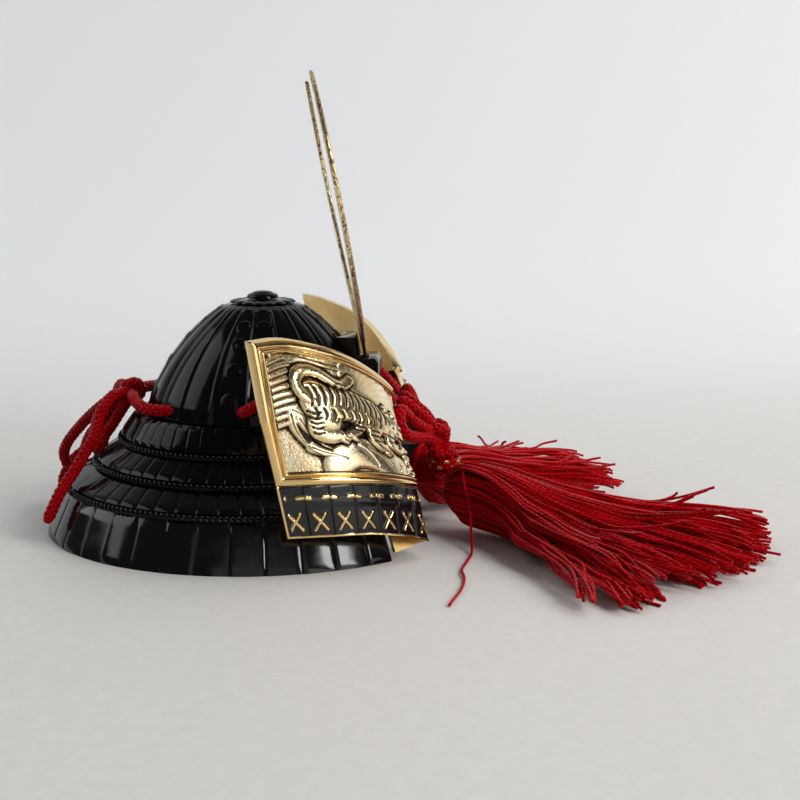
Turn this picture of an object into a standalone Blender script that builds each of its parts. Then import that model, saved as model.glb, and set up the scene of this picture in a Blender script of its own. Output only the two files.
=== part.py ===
"""Display kabuto helmet: ribbed bowl, four-row neck guard, turn-back plates, crest horns and tied cord.

Metres, +Z up. The rim stands on Z = 0 and the front faces -Y. Shapes are drawn round the bowl's
axis first, and everything moves at the end so that the hard pieces' footprint is centred.
"""

from math import asin, cos, degrees, pi, radians, sin

import bmesh
import bpy
from mathutils import Matrix, Vector

GAP = 0.0003                    # between pieces that touch

# Bowl
BOWL_RADIUS = 0.0304
BOWL_HEIGHT = 0.0303
BOWL_WALL = 0.0020
BOWL_FLATNESS = 1.38            # power of the profile's height
BOWL_ROUNDNESS = 1.68           # power of the profile's radius
BOWL_GORES = 16
BOWL_ROWS = 8
BOWL_FLAT_RADIUS = 0.0092       # level top under the crown
RIB_HEIGHT = 0.0006

# Crown
CROWN_RING_RADIUS = 0.0088
CROWN_RING_WALL = 0.0008
CROWN_PETALS = 16
PETAL_DEPTH = 0.0008
BUTTON_RADIUS = 0.0042
BUTTON_HEIGHT = 0.0020
STEM_RADIUS = 0.0014
STEM_LENGTH = 0.0050

# Neck guard
RIM_RADIUS = 0.0552
GUARD_HEIGHT = 0.0307
GUARD_SETBACK = 0.0020          # its axis behind the bowl's
GUARD_FRONT_ANGLE = 46.0        # degrees from straight ahead to each end
LAME_WALL = 0.0011
LAME_OVERLAP = 0.0024
ROPE_RADIUS = 0.0007
LEDGE_WIDTH = 0.0062
LAME_STEPS = 48
RIM_PANELS = 40

# Visor
VISOR_REACH = 0.0098
VISOR_DROP = 0.0042
VISOR_WALL = 0.0011
VISOR_HALF_ANGLE = 30.0

# Turn-back plates
PLATE_TOP = 0.0554
PLATE_REACH = 0.0560
PLATE_WALL = 0.0011
FRAME_WIDTH = 0.0030
FRAME_HEIGHT = 0.0006
RELIEF_HEIGHT = 0.0011
BORDER_SHARE = 0.27             # black border's share of the plate's height

# Crest
CREST_WALL = 0.0010
CREST_HEIGHT = 0.0765
CREST_HALF_SPREAD = 0.0460
CREST_FOOT_RISE = 0.0034        # above the block's bottom
CREST_FOOT_SET = 0.0032         # behind the block's front
CREST_TONGUE = 0.0062
CREST_LEAN = 11.3               # degrees back from upright
CREST_TURN = 7.5                # degrees it has turned in its slot
BLOCK_WIDTH = 0.0140
BLOCK_SHARE = 0.238             # its bottom's height as a share of the bowl's
BLOCK_HEIGHT = 0.0120
BLOCK_STAND = 0.0030            # its front ahead of the bowl's surface
LIP_HEIGHT = 0.0066

# Cord and tassels
CORD_RADIUS = 0.0015
CORD_CLEARANCE = 0.0005
CORD_STEP = 0.0060
KNOT_RADIUS = 0.0046
BAND_RADIUS = 0.0042
BAND_HEIGHT = 0.0032
BAND_WALL = 0.0009
TASSEL_HEAD = 0.0085
TASSEL_FLATNESS = 0.65
# One lock: share of its length, then height and half thickness in head radii
LOCK_SECTIONS = [
    (0.0, 1.45, 0.80), (0.22, 1.45, 0.88), (0.48, 0.92, 0.86), (0.76, 0.72, 0.68), (1.0, 0.54, 0.50),
]
LOCK_STAGGER = 0.05             # every second lock is this share shorter
LINK_GAP = 0.0003               # from the knot's foot to a tassel head, along a slanting strand
NEAR_LENGTH = 0.0740
FAR_LENGTH = 0.0535

# Neck guard corners from the waist to the rim: shares of RIM_RADIUS and GUARD_HEIGHT
GUARD_CORNERS = [(0.569, 1.0), (0.654, 0.792), (0.772, 0.606), (0.911, 0.423), (1.0, 0.0)]

# Turn-back sections, bottom to top: a line from the free edge to the bend and down the inner leg.
# Shares: x of PLATE_REACH, y of RIM_RADIUS ahead, z of PLATE_TOP.
PLATE_SECTIONS = [
    {"share": 0.0,
     "line": [(0.964, 0.232, 0.167), (0.914, 0.417, 0.166), (0.836, 0.583, 0.156), (0.732, 0.721, 0.119),
              (0.638, 0.804, 0.073), (0.611, 0.770, 0.061), (0.706, 0.667, 0.040)]},
    {"share": 0.27,
     "line": [(0.982, 0.188, 0.390), (0.927, 0.370, 0.388), (0.832, 0.543, 0.374), (0.696, 0.681, 0.339),
              (0.564, 0.745, 0.294), (0.536, 0.714, 0.274), (0.625, 0.596, 0.253)]},
    {"share": 0.60,
     "line": [(1.0, 0.132, 0.665), (0.918, 0.297, 0.661), (0.804, 0.467, 0.625), (0.639, 0.601, 0.561),
              (0.457, 0.668, 0.484), (0.421, 0.630, 0.457), (0.438, 0.413, 0.469)]},
    {"share": 1.0,
     "line": [(1.0, 0.083, 1.0), (0.825, 0.203, 0.993), (0.686, 0.395, 0.928), (0.507, 0.525, 0.830),
              (0.325, 0.612, 0.715), (0.304, 0.569, 0.679), (0.399, 0.391, 0.600)]},
]
PLATE_PARTS = 8                 # steps along a section's line between two of its points
BEND_POINT = 4                  # place of the bend in a section's line

# Beast in relief: strokes across the panel, as shares of its width and height. Radii are shares of
# the panel's height, heights are shares of RELIEF_HEIGHT.
RELIEF_STROKES = [
    {"name": "haunch", "height": 1.0, "radii": (0.17, 0.18), "path": [(0.24, 0.56), (0.34, 0.54)]},
    {"name": "back", "height": 0.9, "radii": (0.16, 0.15), "path": [(0.34, 0.56), (0.66, 0.50)]},
    {"name": "shoulder", "height": 1.0, "radii": (0.15, 0.12), "path": [(0.66, 0.48), (0.74, 0.40)]},
    {"name": "head", "height": 1.0, "radii": (0.11, 0.08), "path": [(0.82, 0.33), (0.87, 0.27)]},
    {"name": "tail", "height": 0.8, "radii": (0.06, 0.05),
     "path": [(0.17, 0.66), (0.13, 0.80), (0.24, 0.90), (0.40, 0.86), (0.52, 0.78), (0.60, 0.86)]},
    {"name": "hind_leg", "height": 0.7, "radii": (0.10, 0.05),
     "path": [(0.26, 0.46), (0.19, 0.30), (0.30, 0.22)]},
    {"name": "fore_leg", "height": 0.7, "radii": (0.09, 0.05),
     "path": [(0.64, 0.38), (0.52, 0.24), (0.60, 0.14)]},
    {"name": "far_leg", "height": 0.5, "radii": (0.07, 0.05),
     "path": [(0.76, 0.34), (0.74, 0.18), (0.84, 0.12)]},
]

# One horn from the foot to the tip: shares of CREST_HALF_SPREAD and CREST_HEIGHT, then half the
# width in shares of CREST_HALF_SPREAD
HORN_SECTIONS = [
    (0.13, 0.125, 0.085), (0.30, 0.176, 0.090), (0.52, 0.243, 0.092), (0.72, 0.341, 0.094),
    (0.88, 0.461, 0.098), (0.97, 0.593, 0.104), (0.96, 0.735, 0.106), (0.84, 0.878, 0.080),
    (0.65, 1.0, 0.0),
]
HORN_STEP = 0.0055

# Cord routes round the bowl's axis, chosen by hand for the right side, in metres
SIDE_ROUTE = [
    (0.0064, -0.0346, 0.0342), (0.0090, -0.0340, 0.0347), (0.0122, -0.0322, 0.0360),
    (0.0154, -0.0294, 0.0384), (0.0202, -0.0268, 0.0404), (0.0248, -0.0214, 0.0412),
    (0.0292, -0.0150, 0.0406), (0.0320, -0.0090, 0.0392), (0.0326, -0.0036, 0.0369),
    (0.0308, -0.0004, 0.0350), (0.0284, 0.0018, 0.0340), (0.0250, 0.0050, 0.0335),
    (0.0224, 0.0104, 0.0333), (0.0209, 0.0164, 0.0332), (0.0212, 0.0222, 0.0331),
    (0.0196, 0.0272, 0.0333), (0.0150, 0.0306, 0.0339), (0.0098, 0.0328, 0.0344),
    (0.0052, 0.0342, 0.0347),
]
NEAR_LOOP_ROUTE = [
    (-0.0006, 0.0346, 0.0352), (-0.0052, 0.0374, 0.0301), (-0.0074, 0.0394, 0.0266),
    (-0.0094, 0.0408, 0.0244), (-0.0105, 0.0412, 0.0225), (-0.0105, 0.0429, 0.0211),
    (-0.0085, 0.0442, 0.0220), (-0.0065, 0.0441, 0.0251), (-0.0050, 0.0433, 0.0289),
    (-0.0035, 0.0402, 0.0325), (-0.0006, 0.0352, 0.0350),
]
FAR_LOOP_ROUTE = [
    (0.0010, 0.0376, 0.0344), (0.0042, 0.0432, 0.0312), (0.0066, 0.0492, 0.0262),
    (0.0088, 0.0526, 0.0228), (0.0112, 0.0562, 0.0188), (0.0130, 0.0582, 0.0150),
    (0.0138, 0.0576, 0.0118), (0.0130, 0.0552, 0.0112), (0.0108, 0.0526, 0.0142),
    (0.0086, 0.0510, 0.0172), (0.0064, 0.0488, 0.0214), (0.0044, 0.0444, 0.0262),
    (0.0010, 0.0372, 0.0332),
]
NEAR_END_ROUTE = [
    (-0.0006, 0.0352, 0.0350), (-0.0060, 0.0378, 0.0347), (-0.0090, 0.0389, 0.0343),
    (-0.0130, 0.0406, 0.0312), (-0.0172, 0.0413, 0.0261), (-0.0208, 0.0429, 0.0223),
    (-0.0238, 0.0452, 0.0178), (-0.0260, 0.0480, 0.0134), (-0.0274, 0.0502, 0.0086),
    (-0.0282, 0.0515, 0.0056),
]
FAR_END_ROUTE = [
    (0.0010, 0.0370, 0.0356), (0.0080, 0.0404, 0.0350), (0.0140, 0.0430, 0.0312),
    (0.0188, 0.0448, 0.0258), (0.0210, 0.0476, 0.0205), (0.0204, 0.0518, 0.0160),
    (0.0190, 0.0566, 0.0125), (0.0180, 0.0592, 0.0085), (0.0172, 0.0604, 0.0048),
]
FRONT_STRAND = [
    (0.0048, -0.0358, 0.0337), (0.0040, -0.0384, 0.0324), (0.0035, -0.0405, 0.0305),
    (0.0030, -0.0426, 0.0288), (0.0025, -0.0447, 0.0258), (0.0020, -0.0460, 0.0225),
    (0.0010, -0.0470, 0.0196), (0.0002, -0.0478, 0.0175),
]
FRONT_WING = [
    (0.0012, -0.0458, 0.0236), (0.0070, -0.0427, 0.0267), (0.0110, -0.0398, 0.0295),
    (0.0148, -0.0381, 0.0323), (0.0174, -0.0370, 0.0331), (0.0191, -0.0371, 0.0308),
    (0.0186, -0.0379, 0.0281), (0.0164, -0.0394, 0.0264), (0.0120, -0.0414, 0.0250),
    (0.0070, -0.0438, 0.0240), (0.0012, -0.0462, 0.0216),
]
CURVE_PARTS = 16                # steps of a smooth curve between two of its points
KNOT_CENTRE = (0.0, -0.0464, 0.0222)
REAR_KNOT_CENTRE = (0.0, 0.0350, 0.0349)
BAND_CENTRE = (0.0, -0.0480, 0.0163)
NEAR_HEAD = (-0.0112, -0.0556, 0.0102)
FAR_HEAD = (0.0115, -0.0452, 0.0100)

for item in list(bpy.data.objects):
    bpy.data.objects.remove(item, do_unlink=True)

helmet = bpy.data.collections.new("kabuto_helmet")
helpers = bpy.data.collections.new("cutters")
bpy.context.scene.collection.children.link(helmet)
bpy.context.scene.collection.children.link(helpers)


def material(name, color, roughness, metallic=0.0):
    made = bpy.data.materials.new(name)
    made.use_nodes = True
    shader = made.node_tree.nodes["Principled BSDF"]
    shader.inputs["Base Color"].default_value = (*color, 1.0)
    shader.inputs["Roughness"].default_value = roughness
    shader.inputs["Metallic"].default_value = metallic
    return made


def add(name, mesh, *finishes, collection=None):
    """Put a mesh in the scene as one named piece."""
    piece = bpy.data.objects.new(name, mesh)
    (collection or helmet).objects.link(piece)
    for finish in finishes:
        mesh.materials.append(finish)
    return piece


def hide(cutter):
    cutter.hide_render = True
    cutter.display_type = "WIRE"
    return cutter


def settle(piece):
    """Replace a piece's mesh by what its modifiers make of it."""
    bpy.context.view_layer.update()
    graph = bpy.context.evaluated_depsgraph_get()
    mesh = bpy.data.meshes.new_from_object(piece.evaluated_get(graph))
    piece.modifiers.clear()
    piece.data = mesh
    return piece


def combine(piece, other, operation, crossing=False):
    """Cut or join one closed piece with another, which is used up and may cross itself."""
    step = piece.modifiers.new(operation.lower(), "BOOLEAN")
    step.operation = operation
    step.use_self = crossing
    step.object = other
    settle(piece)
    bpy.data.objects.remove(other, do_unlink=True)
    return piece


def smooth(piece, angle=40.0):
    piece.data.shade_smooth()
    piece.data.set_sharp_from_angle(angle=radians(angle))
    return piece


def between_points(before, start, end, after, t):
    """Point on the smooth curve from start to end, at a share t of the way."""
    first = (end - before) * t
    second = (2 * before - 5 * start + 4 * end - after) * t ** 2
    third = (3 * start - before - 3 * end + after) * t ** 3
    return (2 * start + first + second + third) / 2


def smooth_path(points, step):
    """Even points along a smooth curve through a short list of points."""
    knots = [Vector(point) for point in points]
    knots = [2 * knots[0] - knots[1]] + knots + [2 * knots[-1] - knots[-2]]
    fine = []
    for before, start, end, after in zip(knots, knots[1:], knots[2:], knots[3:]):
        for k in range(CURVE_PARTS):
            fine.append(between_points(before, start, end, after, k / CURVE_PARTS))
    fine.append(knots[-2])
    lengths = [0.0]
    for a, b in zip(fine, fine[1:]):
        lengths.append(lengths[-1] + (b - a).length)
    count = max(4, round(lengths[-1] / step))
    path, k = [], 0
    for i in range(count + 1):
        target = lengths[-1] * i / count
        while k < len(fine) - 2 and lengths[k + 1] < target:
            k += 1
        share = (target - lengths[k]) / (lengths[k + 1] - lengths[k])
        path.append(fine[k].lerp(fine[k + 1], share))
    return path


def tube(name, path, radius, finish, radii=None, resolution=2, collection=None):
    """Round cord along a path, as a curve with filled caps."""
    curve = bpy.data.curves.new(name, "CURVE")
    curve.dimensions = "3D"
    curve.bevel_depth = radius
    curve.bevel_resolution = resolution
    curve.use_fill_caps = True
    spline = curve.splines.new("POLY")
    spline.points.add(len(path) - 1)
    spline.use_smooth = True
    for i, place in enumerate(path):
        spline.points[i].co = (*place, 1.0)
        spline.points[i].radius = radii[i] if radii else 1.0
    curve.materials.append(finish)
    piece = bpy.data.objects.new(name, curve)
    (collection or helmet).objects.link(piece)
    return piece


def as_mesh(piece):
    """Turn a curve piece into a welded mesh piece of the same name."""
    bpy.context.view_layer.update()
    graph = bpy.context.evaluated_depsgraph_get()
    mesh = bpy.data.meshes.new_from_object(piece.evaluated_get(graph))
    form = bmesh.new()
    form.from_mesh(mesh)
    bmesh.ops.remove_doubles(form, verts=form.verts, dist=0.00001)
    bmesh.ops.recalc_face_normals(form, faces=form.faces)
    form.to_mesh(mesh)
    form.free()
    name, collection, matrix = piece.name, piece.users_collection[0], piece.matrix_world.copy()
    bpy.data.objects.remove(piece, do_unlink=True)
    made = bpy.data.objects.new(name, mesh)
    collection.objects.link(made)
    made.matrix_world = matrix
    return made


def turned(name, profile, steps, finish, closed=False):
    """Turn a profile of (radius, height) points round Z. It runs down the outer side first."""
    mesh = bpy.data.meshes.new(name)
    edges = [(i, i + 1) for i in range(len(profile) - 1)]
    if closed:
        edges.append((len(profile) - 1, 0))
    mesh.from_pydata([(r, 0.0, z) for r, z in profile], edges, [])
    piece = add(name, mesh, finish)
    screw = piece.modifiers.new("turn", "SCREW")
    screw.steps = steps
    screw.render_steps = steps
    screw.use_merge_vertices = True
    screw.merge_threshold = 0.00001
    return settle(piece)


def prism(name, outline, low, high, axes=(0, 1, 2)):
    """Closed straight body over a flat outline; axes says where outline x, y and depth go."""
    form = bmesh.new()
    corners = []
    for a, b in outline:
        place = [0.0, 0.0, 0.0]
        place[axes[0]], place[axes[1]], place[axes[2]] = a, b, low
        corners.append(form.verts.new(place))
    face = form.faces.new(corners)
    shift = Vector((0.0, 0.0, 0.0))
    shift[axes[2]] = high - low
    grown = bmesh.ops.extrude_face_region(form, geom=[face])["geom"]
    bmesh.ops.translate(form, verts=[v for v in grown if isinstance(v, bmesh.types.BMVert)], vec=shift)
    bmesh.ops.recalc_face_normals(form, faces=form.faces)
    mesh = bpy.data.meshes.new(name)
    form.to_mesh(mesh)
    form.free()
    return hide(add(name, mesh, collection=helpers))


def ball(name, centre, radii, segments=14, rings=9, collection=None):
    mesh = bpy.data.meshes.new(name)
    form = bmesh.new()
    place = Matrix.Translation(centre) @ Matrix.Diagonal((*radii, 1.0))
    bmesh.ops.create_uvsphere(form, u_segments=segments, v_segments=rings, radius=1.0, matrix=place)
    form.to_mesh(mesh)
    form.free()
    return add(name, mesh, collection=collection or helpers)


def shell_body(name, outer, inner, *finishes, paint=None):
    """Closed body between an outer and an inner grid of points, which may differ in fineness."""
    form = bmesh.new()
    rims = []
    for grid, flip in ((outer, False), (inner, True)):
        verts = [[form.verts.new(point) for point in row] for row in grid]
        for i, (low, high) in enumerate(zip(verts, verts[1:])):
            for j in range(len(low) - 1):
                loop = (low[j], low[j + 1], high[j + 1], high[j])
                face = form.faces.new(loop[::-1] if flip else loop)
                face.material_index = paint(i) if paint and not flip else 0
        rims.append([edge for edge in form.edges if edge.is_boundary and edge.verts[0] in sum(verts, [])
                     and edge.verts[1] in sum(verts, [])])
    bmesh.ops.bridge_loops(form, edges=rims[0] + rims[1])
    bmesh.ops.recalc_face_normals(form, faces=form.faces)
    mesh = bpy.data.meshes.new(name)
    form.to_mesh(mesh)
    form.free()
    return add(name, mesh, *finishes)


BLACK = material("gloss_black", (0.006, 0.006, 0.007), 0.12)
GOLD = material("gilt_metal", (0.80, 0.60, 0.28), 0.22, 1.0)
RED = material("red_cord", (0.55, 0.01, 0.02), 0.6)
GOLD_THREAD = material("gold_thread", (0.85, 0.55, 0.18), 0.35, 0.8)


def bowl_profile(turn):
    """Radius and height above the brow of the bowl's smooth surface; turn runs from 0 to 90 degrees."""
    radius = BOWL_RADIUS * cos(radians(turn)) ** (2 / BOWL_ROUNDNESS)
    height = BOWL_HEIGHT * sin(radians(turn)) ** (2 / BOWL_FLATNESS)
    return radius, height


def bowl_turn(radius):
    """Turn at which the profile has a given radius."""
    low, high = 0.0, 90.0
    for _ in range(40):
        middle = (low + high) / 2
        if bowl_profile(middle)[0] > radius:
            low = middle
        else:
            high = middle
    return low


HEAD_RADII = (TASSEL_HEAD * 0.92, TASSEL_HEAD * 0.86, TASSEL_HEAD * 1.08)
BROW = GUARD_HEIGHT + GAP
STEM_HOLE = STEM_RADIUS + GAP


def closed_rows(name, rows, finish, capped=False):
    """Closed body over rings of points, each row a ring; the last row joins the first or both are capped."""
    form = bmesh.new()
    verts = [[form.verts.new(point) for point in row] for row in rows]
    pairs = list(zip(verts, verts[1:]))
    if not capped:
        pairs.append((verts[-1], verts[0]))
    for low, high in pairs:
        for j in range(len(low)):
            k = (j + 1) % len(low)
            form.faces.new((low[j], low[k], high[k], high[j]))
    if capped:
        form.faces.new(verts[0][::-1])
        form.faces.new(verts[-1])
    bmesh.ops.recalc_face_normals(form, faces=form.faces)
    mesh = bpy.data.meshes.new(name)
    form.to_mesh(mesh)
    form.free()
    return add(name, mesh, finish)


def make_bowl():
    columns = BOWL_GORES * 4
    last = bowl_turn(BOWL_FLAT_RADIUS)
    rows = []
    for i in range(BOWL_ROWS + 1):
        turn = last * (i / BOWL_ROWS) ** 0.85
        radius, height = bowl_profile(turn)
        rib = RIB_HEIGHT * min(1.0, (last - turn) / 12.0)
        row = []
        for j in range(columns):
            angle = 2 * pi * j / columns
            grown = radius + (rib if j % 4 == 0 else 0.0)
            row.append((grown * sin(angle), -grown * cos(angle), BROW + height))
        rows.append(row)
    bowl = closed_rows("bowl", rows, BLACK, capped=True)
    shrink_r = 1.0 - BOWL_WALL / BOWL_RADIUS
    top = bowl_profile(last)[1] - BOWL_WALL
    hollow = [(0.0, BROW + top)]
    for i in range(7, -1, -1):
        radius, height = bowl_profile(last * i / 7)
        hollow.append((radius * shrink_r, BROW + height * top / bowl_profile(last)[1]))
    hollow += [(BOWL_RADIUS * shrink_r, 0.0), (0.0, 0.0)]
    combine(bowl, turned("hollow", hollow, 36, BLACK), "DIFFERENCE")
    crown = BROW + BOWL_HEIGHT
    stem_hole = [(0.0, crown), (STEM_HOLE, crown), (STEM_HOLE, BROW), (0.0, BROW)]
    combine(bowl, turned("stem_hole", stem_hole, 16, BLACK), "DIFFERENCE")
    for side in (-1, 1):
        drill_radius = CORD_RADIUS + CORD_CLEARANCE
        drill = tube("drill", route(SIDE_ROUTE, side), drill_radius, BLACK, collection=helpers)
        combine(bowl, as_mesh(drill), "DIFFERENCE")
    return smooth(bowl)


def make_crown():
    seat = BROW + bowl_profile(bowl_turn(BOWL_FLAT_RADIUS))[1] + GAP
    top = seat + CROWN_RING_WALL
    edge = CROWN_RING_RADIUS
    rows = []
    for radius, height, scallop in ((edge, seat, 1.0), (edge, seat + CROWN_RING_WALL / 2, 1.0),
                                    (edge - CROWN_RING_WALL, top, 0.6), (STEM_HOLE, top, 0.0),
                                    (STEM_HOLE, seat, 0.0)):
        row = []
        for j in range(CROWN_PETALS * 2):
            angle = pi * j / CROWN_PETALS
            grown = radius - PETAL_DEPTH * scallop * (j % 2)
            row.append((grown * sin(angle), -grown * cos(angle), height))
        rows.append(row)
    smooth(closed_rows("crown_ring", rows, BLACK))
    base = top + GAP
    dome = []
    for angle in (75, 50, 25, 5):
        dome.append((BUTTON_RADIUS * cos(radians(angle)), base + BUTTON_HEIGHT * sin(radians(angle))))
    stem_end = base - STEM_LENGTH
    profile = [(0.0, base + BUTTON_HEIGHT)] + dome
    profile += [(BUTTON_RADIUS, base), (STEM_RADIUS, base), (STEM_RADIUS, stem_end), (0.0, stem_end)]
    smooth(turned("crown_button", profile, 16, BLACK))


def corner(index):
    share_r, share_z = GUARD_CORNERS[index]
    return Vector((share_r * RIM_RADIUS, share_z * GUARD_HEIGHT))


def along_and_out(start, end):
    """Unit vectors down a slope and out of it."""
    along = (end - start).normalized()
    return along, Vector((-along.y, along.x))


def lame_face(index):
    """Start and end of the outer slope of one row, which starts tucked under the row above."""
    start, end = corner(index), corner(index + 1)
    if index:
        along, out = along_and_out(*lame_face(index - 1))
        start = start - out * (LAME_WALL + GAP) + along * GAP
    return start, end


def lame_profile(index):
    """Closed outline of one row of the neck guard."""
    start, end = lame_face(index)
    if index:
        along, _ = along_and_out(*lame_face(index - 1))
        top = start - along * LAME_OVERLAP
    else:
        top = Vector((start.x - LEDGE_WIDTH, start.y))
    _, first_out = along_and_out(top, start)
    second, second_out = along_and_out(start, end)
    miter = (first_out + second_out) / (1.0 + first_out.dot(second_out))
    outer = [top, start]
    if index < len(GUARD_CORNERS) - 2:
        centre = end - second * ROPE_RADIUS
        outer.append(centre - second * ROPE_RADIUS)
        for angle in (125, 90, 45, 0):
            around = second * cos(radians(angle)) + second_out * sin(radians(angle))
            outer.append(centre + around * ROPE_RADIUS)
        inner_low = end - second_out * LAME_WALL
    else:
        outer.append(end)
        inner_low = Vector((end.x - LAME_WALL / second_out.x, end.y))
    inner = [inner_low, start - miter * LAME_WALL, top - first_out * LAME_WALL]
    return [(point.x, point.y) for point in outer + inner]


def make_lames():
    reach = RIM_RADIUS * 2
    spread = radians(GUARD_FRONT_ANGLE)
    wedge = [(0.0, 0.0), (reach * sin(spread), -reach * cos(spread)), (0.0, -reach * 1.2),
             (-reach * sin(spread), -reach * cos(spread))]
    for index in range(len(GUARD_CORNERS) - 1):
        lowest = index == len(GUARD_CORNERS) - 2
        steps = RIM_PANELS if lowest else LAME_STEPS
        lame = turned("neck_lame_%d" % (index + 1), lame_profile(index), steps, BLACK, closed=True)
        front = prism("front", wedge, -RIM_RADIUS, GUARD_HEIGHT * 2)
        combine(lame, front, "DIFFERENCE")
        lame.data.transform(Matrix.Translation((0.0, GUARD_SETBACK, 0.0)))
        smooth(lame, 30.0)


def make_visor():
    columns = 14
    inner_edge = BOWL_RADIUS - BOWL_WALL * 2
    seat = BOWL_RADIUS + RIB_HEIGHT + GAP
    faces = []
    for depth in (0.0, VISOR_WALL):
        rows = []
        for share in (0.0, 0.35, 0.7, 1.0):
            row = []
            for j in range(columns + 1):
                angle = radians(VISOR_HALF_ANGLE) * (2 * j / columns - 1)
                reach = VISOR_REACH * cos(angle * pi / 2 / radians(VISOR_HALF_ANGLE) * 0.96) ** 0.6
                if share == 0.0:
                    radius, drop = inner_edge, 0.0
                else:
                    slope = (share - 0.35) / 0.65
                    radius, drop = seat + reach * slope, VISOR_DROP * slope * reach / VISOR_REACH
                row.append((radius * sin(angle), -radius * cos(angle), GUARD_HEIGHT - drop - depth))
            rows.append(row)
        faces.append(rows)
    smooth(shell_body("visor", faces[0], faces[1], BLACK))


def plate_line(share):
    """Fine line along the right plate at a share of its height."""
    for low, high in zip(PLATE_SECTIONS, PLATE_SECTIONS[1:]):
        if share <= high["share"]:
            break
    t = (share - low["share"]) / (high["share"] - low["share"])
    scale = Vector((PLATE_REACH, -RIM_RADIUS, PLATE_TOP))
    points = [Vector(a).lerp(Vector(b), t) * scale for a, b in zip(low["line"], high["line"])]
    points = [points[0] * 2 - points[1]] + points + [points[-1] * 2 - points[-2]]
    line = []
    for a, b, c, d in zip(points, points[1:], points[2:], points[3:]):
        for k in range(PLATE_PARTS):
            line.append(between_points(a, b, c, d, k / PLATE_PARTS))
    return line + [points[-2]]


def plate_point(across, share, lift):
    """Point on the plate. Across runs 0 to 1 from the free edge to the bend and to 2 down the leg."""
    line = plate_line(share)
    bend = BEND_POINT * PLATE_PARTS
    first, last = (0, bend) if across <= 1.0 else (bend, len(line) - 1)
    steps = [(line[i + 1] - line[i]).length for i in range(first, last)]
    left = (across if across <= 1.0 else across - 1.0) * sum(steps)
    index = 0
    while index < len(steps) - 1 and left > steps[index]:
        left -= steps[index]
        index += 1
    t = min(1.0, left / steps[index])
    index += first

    def tangent(i):
        return line[min(i + 1, len(line) - 1)] - line[max(i - 1, 0)]

    place = line[index].lerp(line[index + 1], t)
    along = tangent(index).normalized().lerp(tangent(index + 1).normalized(), t)
    out = Vector((-along.y, along.x, 0.0)).normalized()
    return place + out * lift


def stroke_height(u, v, aspect):
    """Height share of the beast at panel shares u and v; aspect is panel width over height."""
    tallest = 0.0
    for stroke in RELIEF_STROKES:
        path, radii = stroke["path"], stroke["radii"]
        legs = len(path) - 1
        for k in range(legs):
            (u0, v0), (u1, v1) = path[k], path[k + 1]
            du, dv = (u1 - u0) * aspect, v1 - v0
            t = max(0.0, min(1.0, ((u - u0) * aspect * du + (v - v0) * dv) / (du * du + dv * dv)))
            radius = radii[0] + (radii[1] - radii[0]) * (k + t) / legs
            away = (((u - u0) * aspect - du * t) ** 2 + (v - v0 - dv * t) ** 2) / radius ** 2
            if away < 1.0:
                tallest = max(tallest, stroke["height"] * (1.0 - away) ** 0.5)
    return tallest


def make_plates():
    middle = plate_line(0.6)[:BEND_POINT * PLATE_PARTS + 1]
    width = sum((b - a).length for a, b in zip(middle, middle[1:]))
    height = PLATE_TOP * (PLATE_SECTIONS[-1]["line"][0][2] - PLATE_SECTIONS[1]["line"][0][2])
    side = FRAME_WIDTH / width
    band = FRAME_WIDTH / PLATE_TOP
    step = 0.008
    low, high = BORDER_SHARE + band, 1.0 - band
    shares = [0.0, BORDER_SHARE / 2, BORDER_SHARE - step, BORDER_SHARE, low, low + step]
    shares += [low + step + (high - low - 2 * step) * k / 11 for k in range(1, 11)]
    shares += [high - step, high, 1.0]
    across = [0.0, side, side + step] + [side + step + (0.94 - side - step) * k / 13 for k in range(1, 14)]
    turn = [0.97, 1.0, 1.06, 1.12, 1.20, 1.36]
    across += turn + [2.0]

    def lift(place, share):
        if place > 1.0 or share < BORDER_SHARE - step / 2:
            return PLATE_WALL / 2
        if share <= low or share >= high - step / 2 or place <= side:
            return PLATE_WALL / 2 + FRAME_HEIGHT
        u = (place - side) / (1.0 - side)
        v = (share - low) / (high - low)
        return PLATE_WALL / 2 + RELIEF_HEIGHT * stroke_height(u, v, width / height)

    outer = [[plate_point(a, s, lift(a, s)) for a in across] for s in shares]
    coarse_shares = [0.0, BORDER_SHARE, 0.5, 0.75, 1.0]
    coarse_across = [0.0, 0.2, 0.4, 0.6, 0.8, 0.92] + turn + [2.0]
    inner = [[plate_point(a, s, -PLATE_WALL / 2) for a in coarse_across] for s in coarse_shares]
    for name, side_sign in (("turn_back_right", 1), ("turn_back_left", -1)):
        mirror = Matrix.Diagonal((side_sign, 1.0, 1.0))
        grids = [[[mirror @ point for point in row] for row in grid] for grid in (outer, inner)]
        plate = shell_body(name, *grids, GOLD, BLACK, paint=lambda row: 1 if row < 2 else 0)
        smooth(plate, 35.0)


def block_place():
    """The crest block's bottom level and its front's distance ahead of the bowl's axis."""
    turn = degrees(asin(BLOCK_SHARE ** (BOWL_FLATNESS / 2)))
    radius, height = bowl_profile(turn)
    return BROW + height, radius + BLOCK_STAND


def crest_frame():
    """Where crest outline coordinates (across, thickness, up) go."""
    bottom, front = block_place()
    foot = Vector((0.0, CREST_FOOT_SET - front, bottom + CREST_FOOT_RISE))
    turn = Matrix.Rotation(radians(CREST_TURN), 4, "Z")
    lean = Matrix.Rotation(radians(-CREST_LEAN), 4, "X")
    return Matrix.Translation(foot) @ turn @ lean


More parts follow.
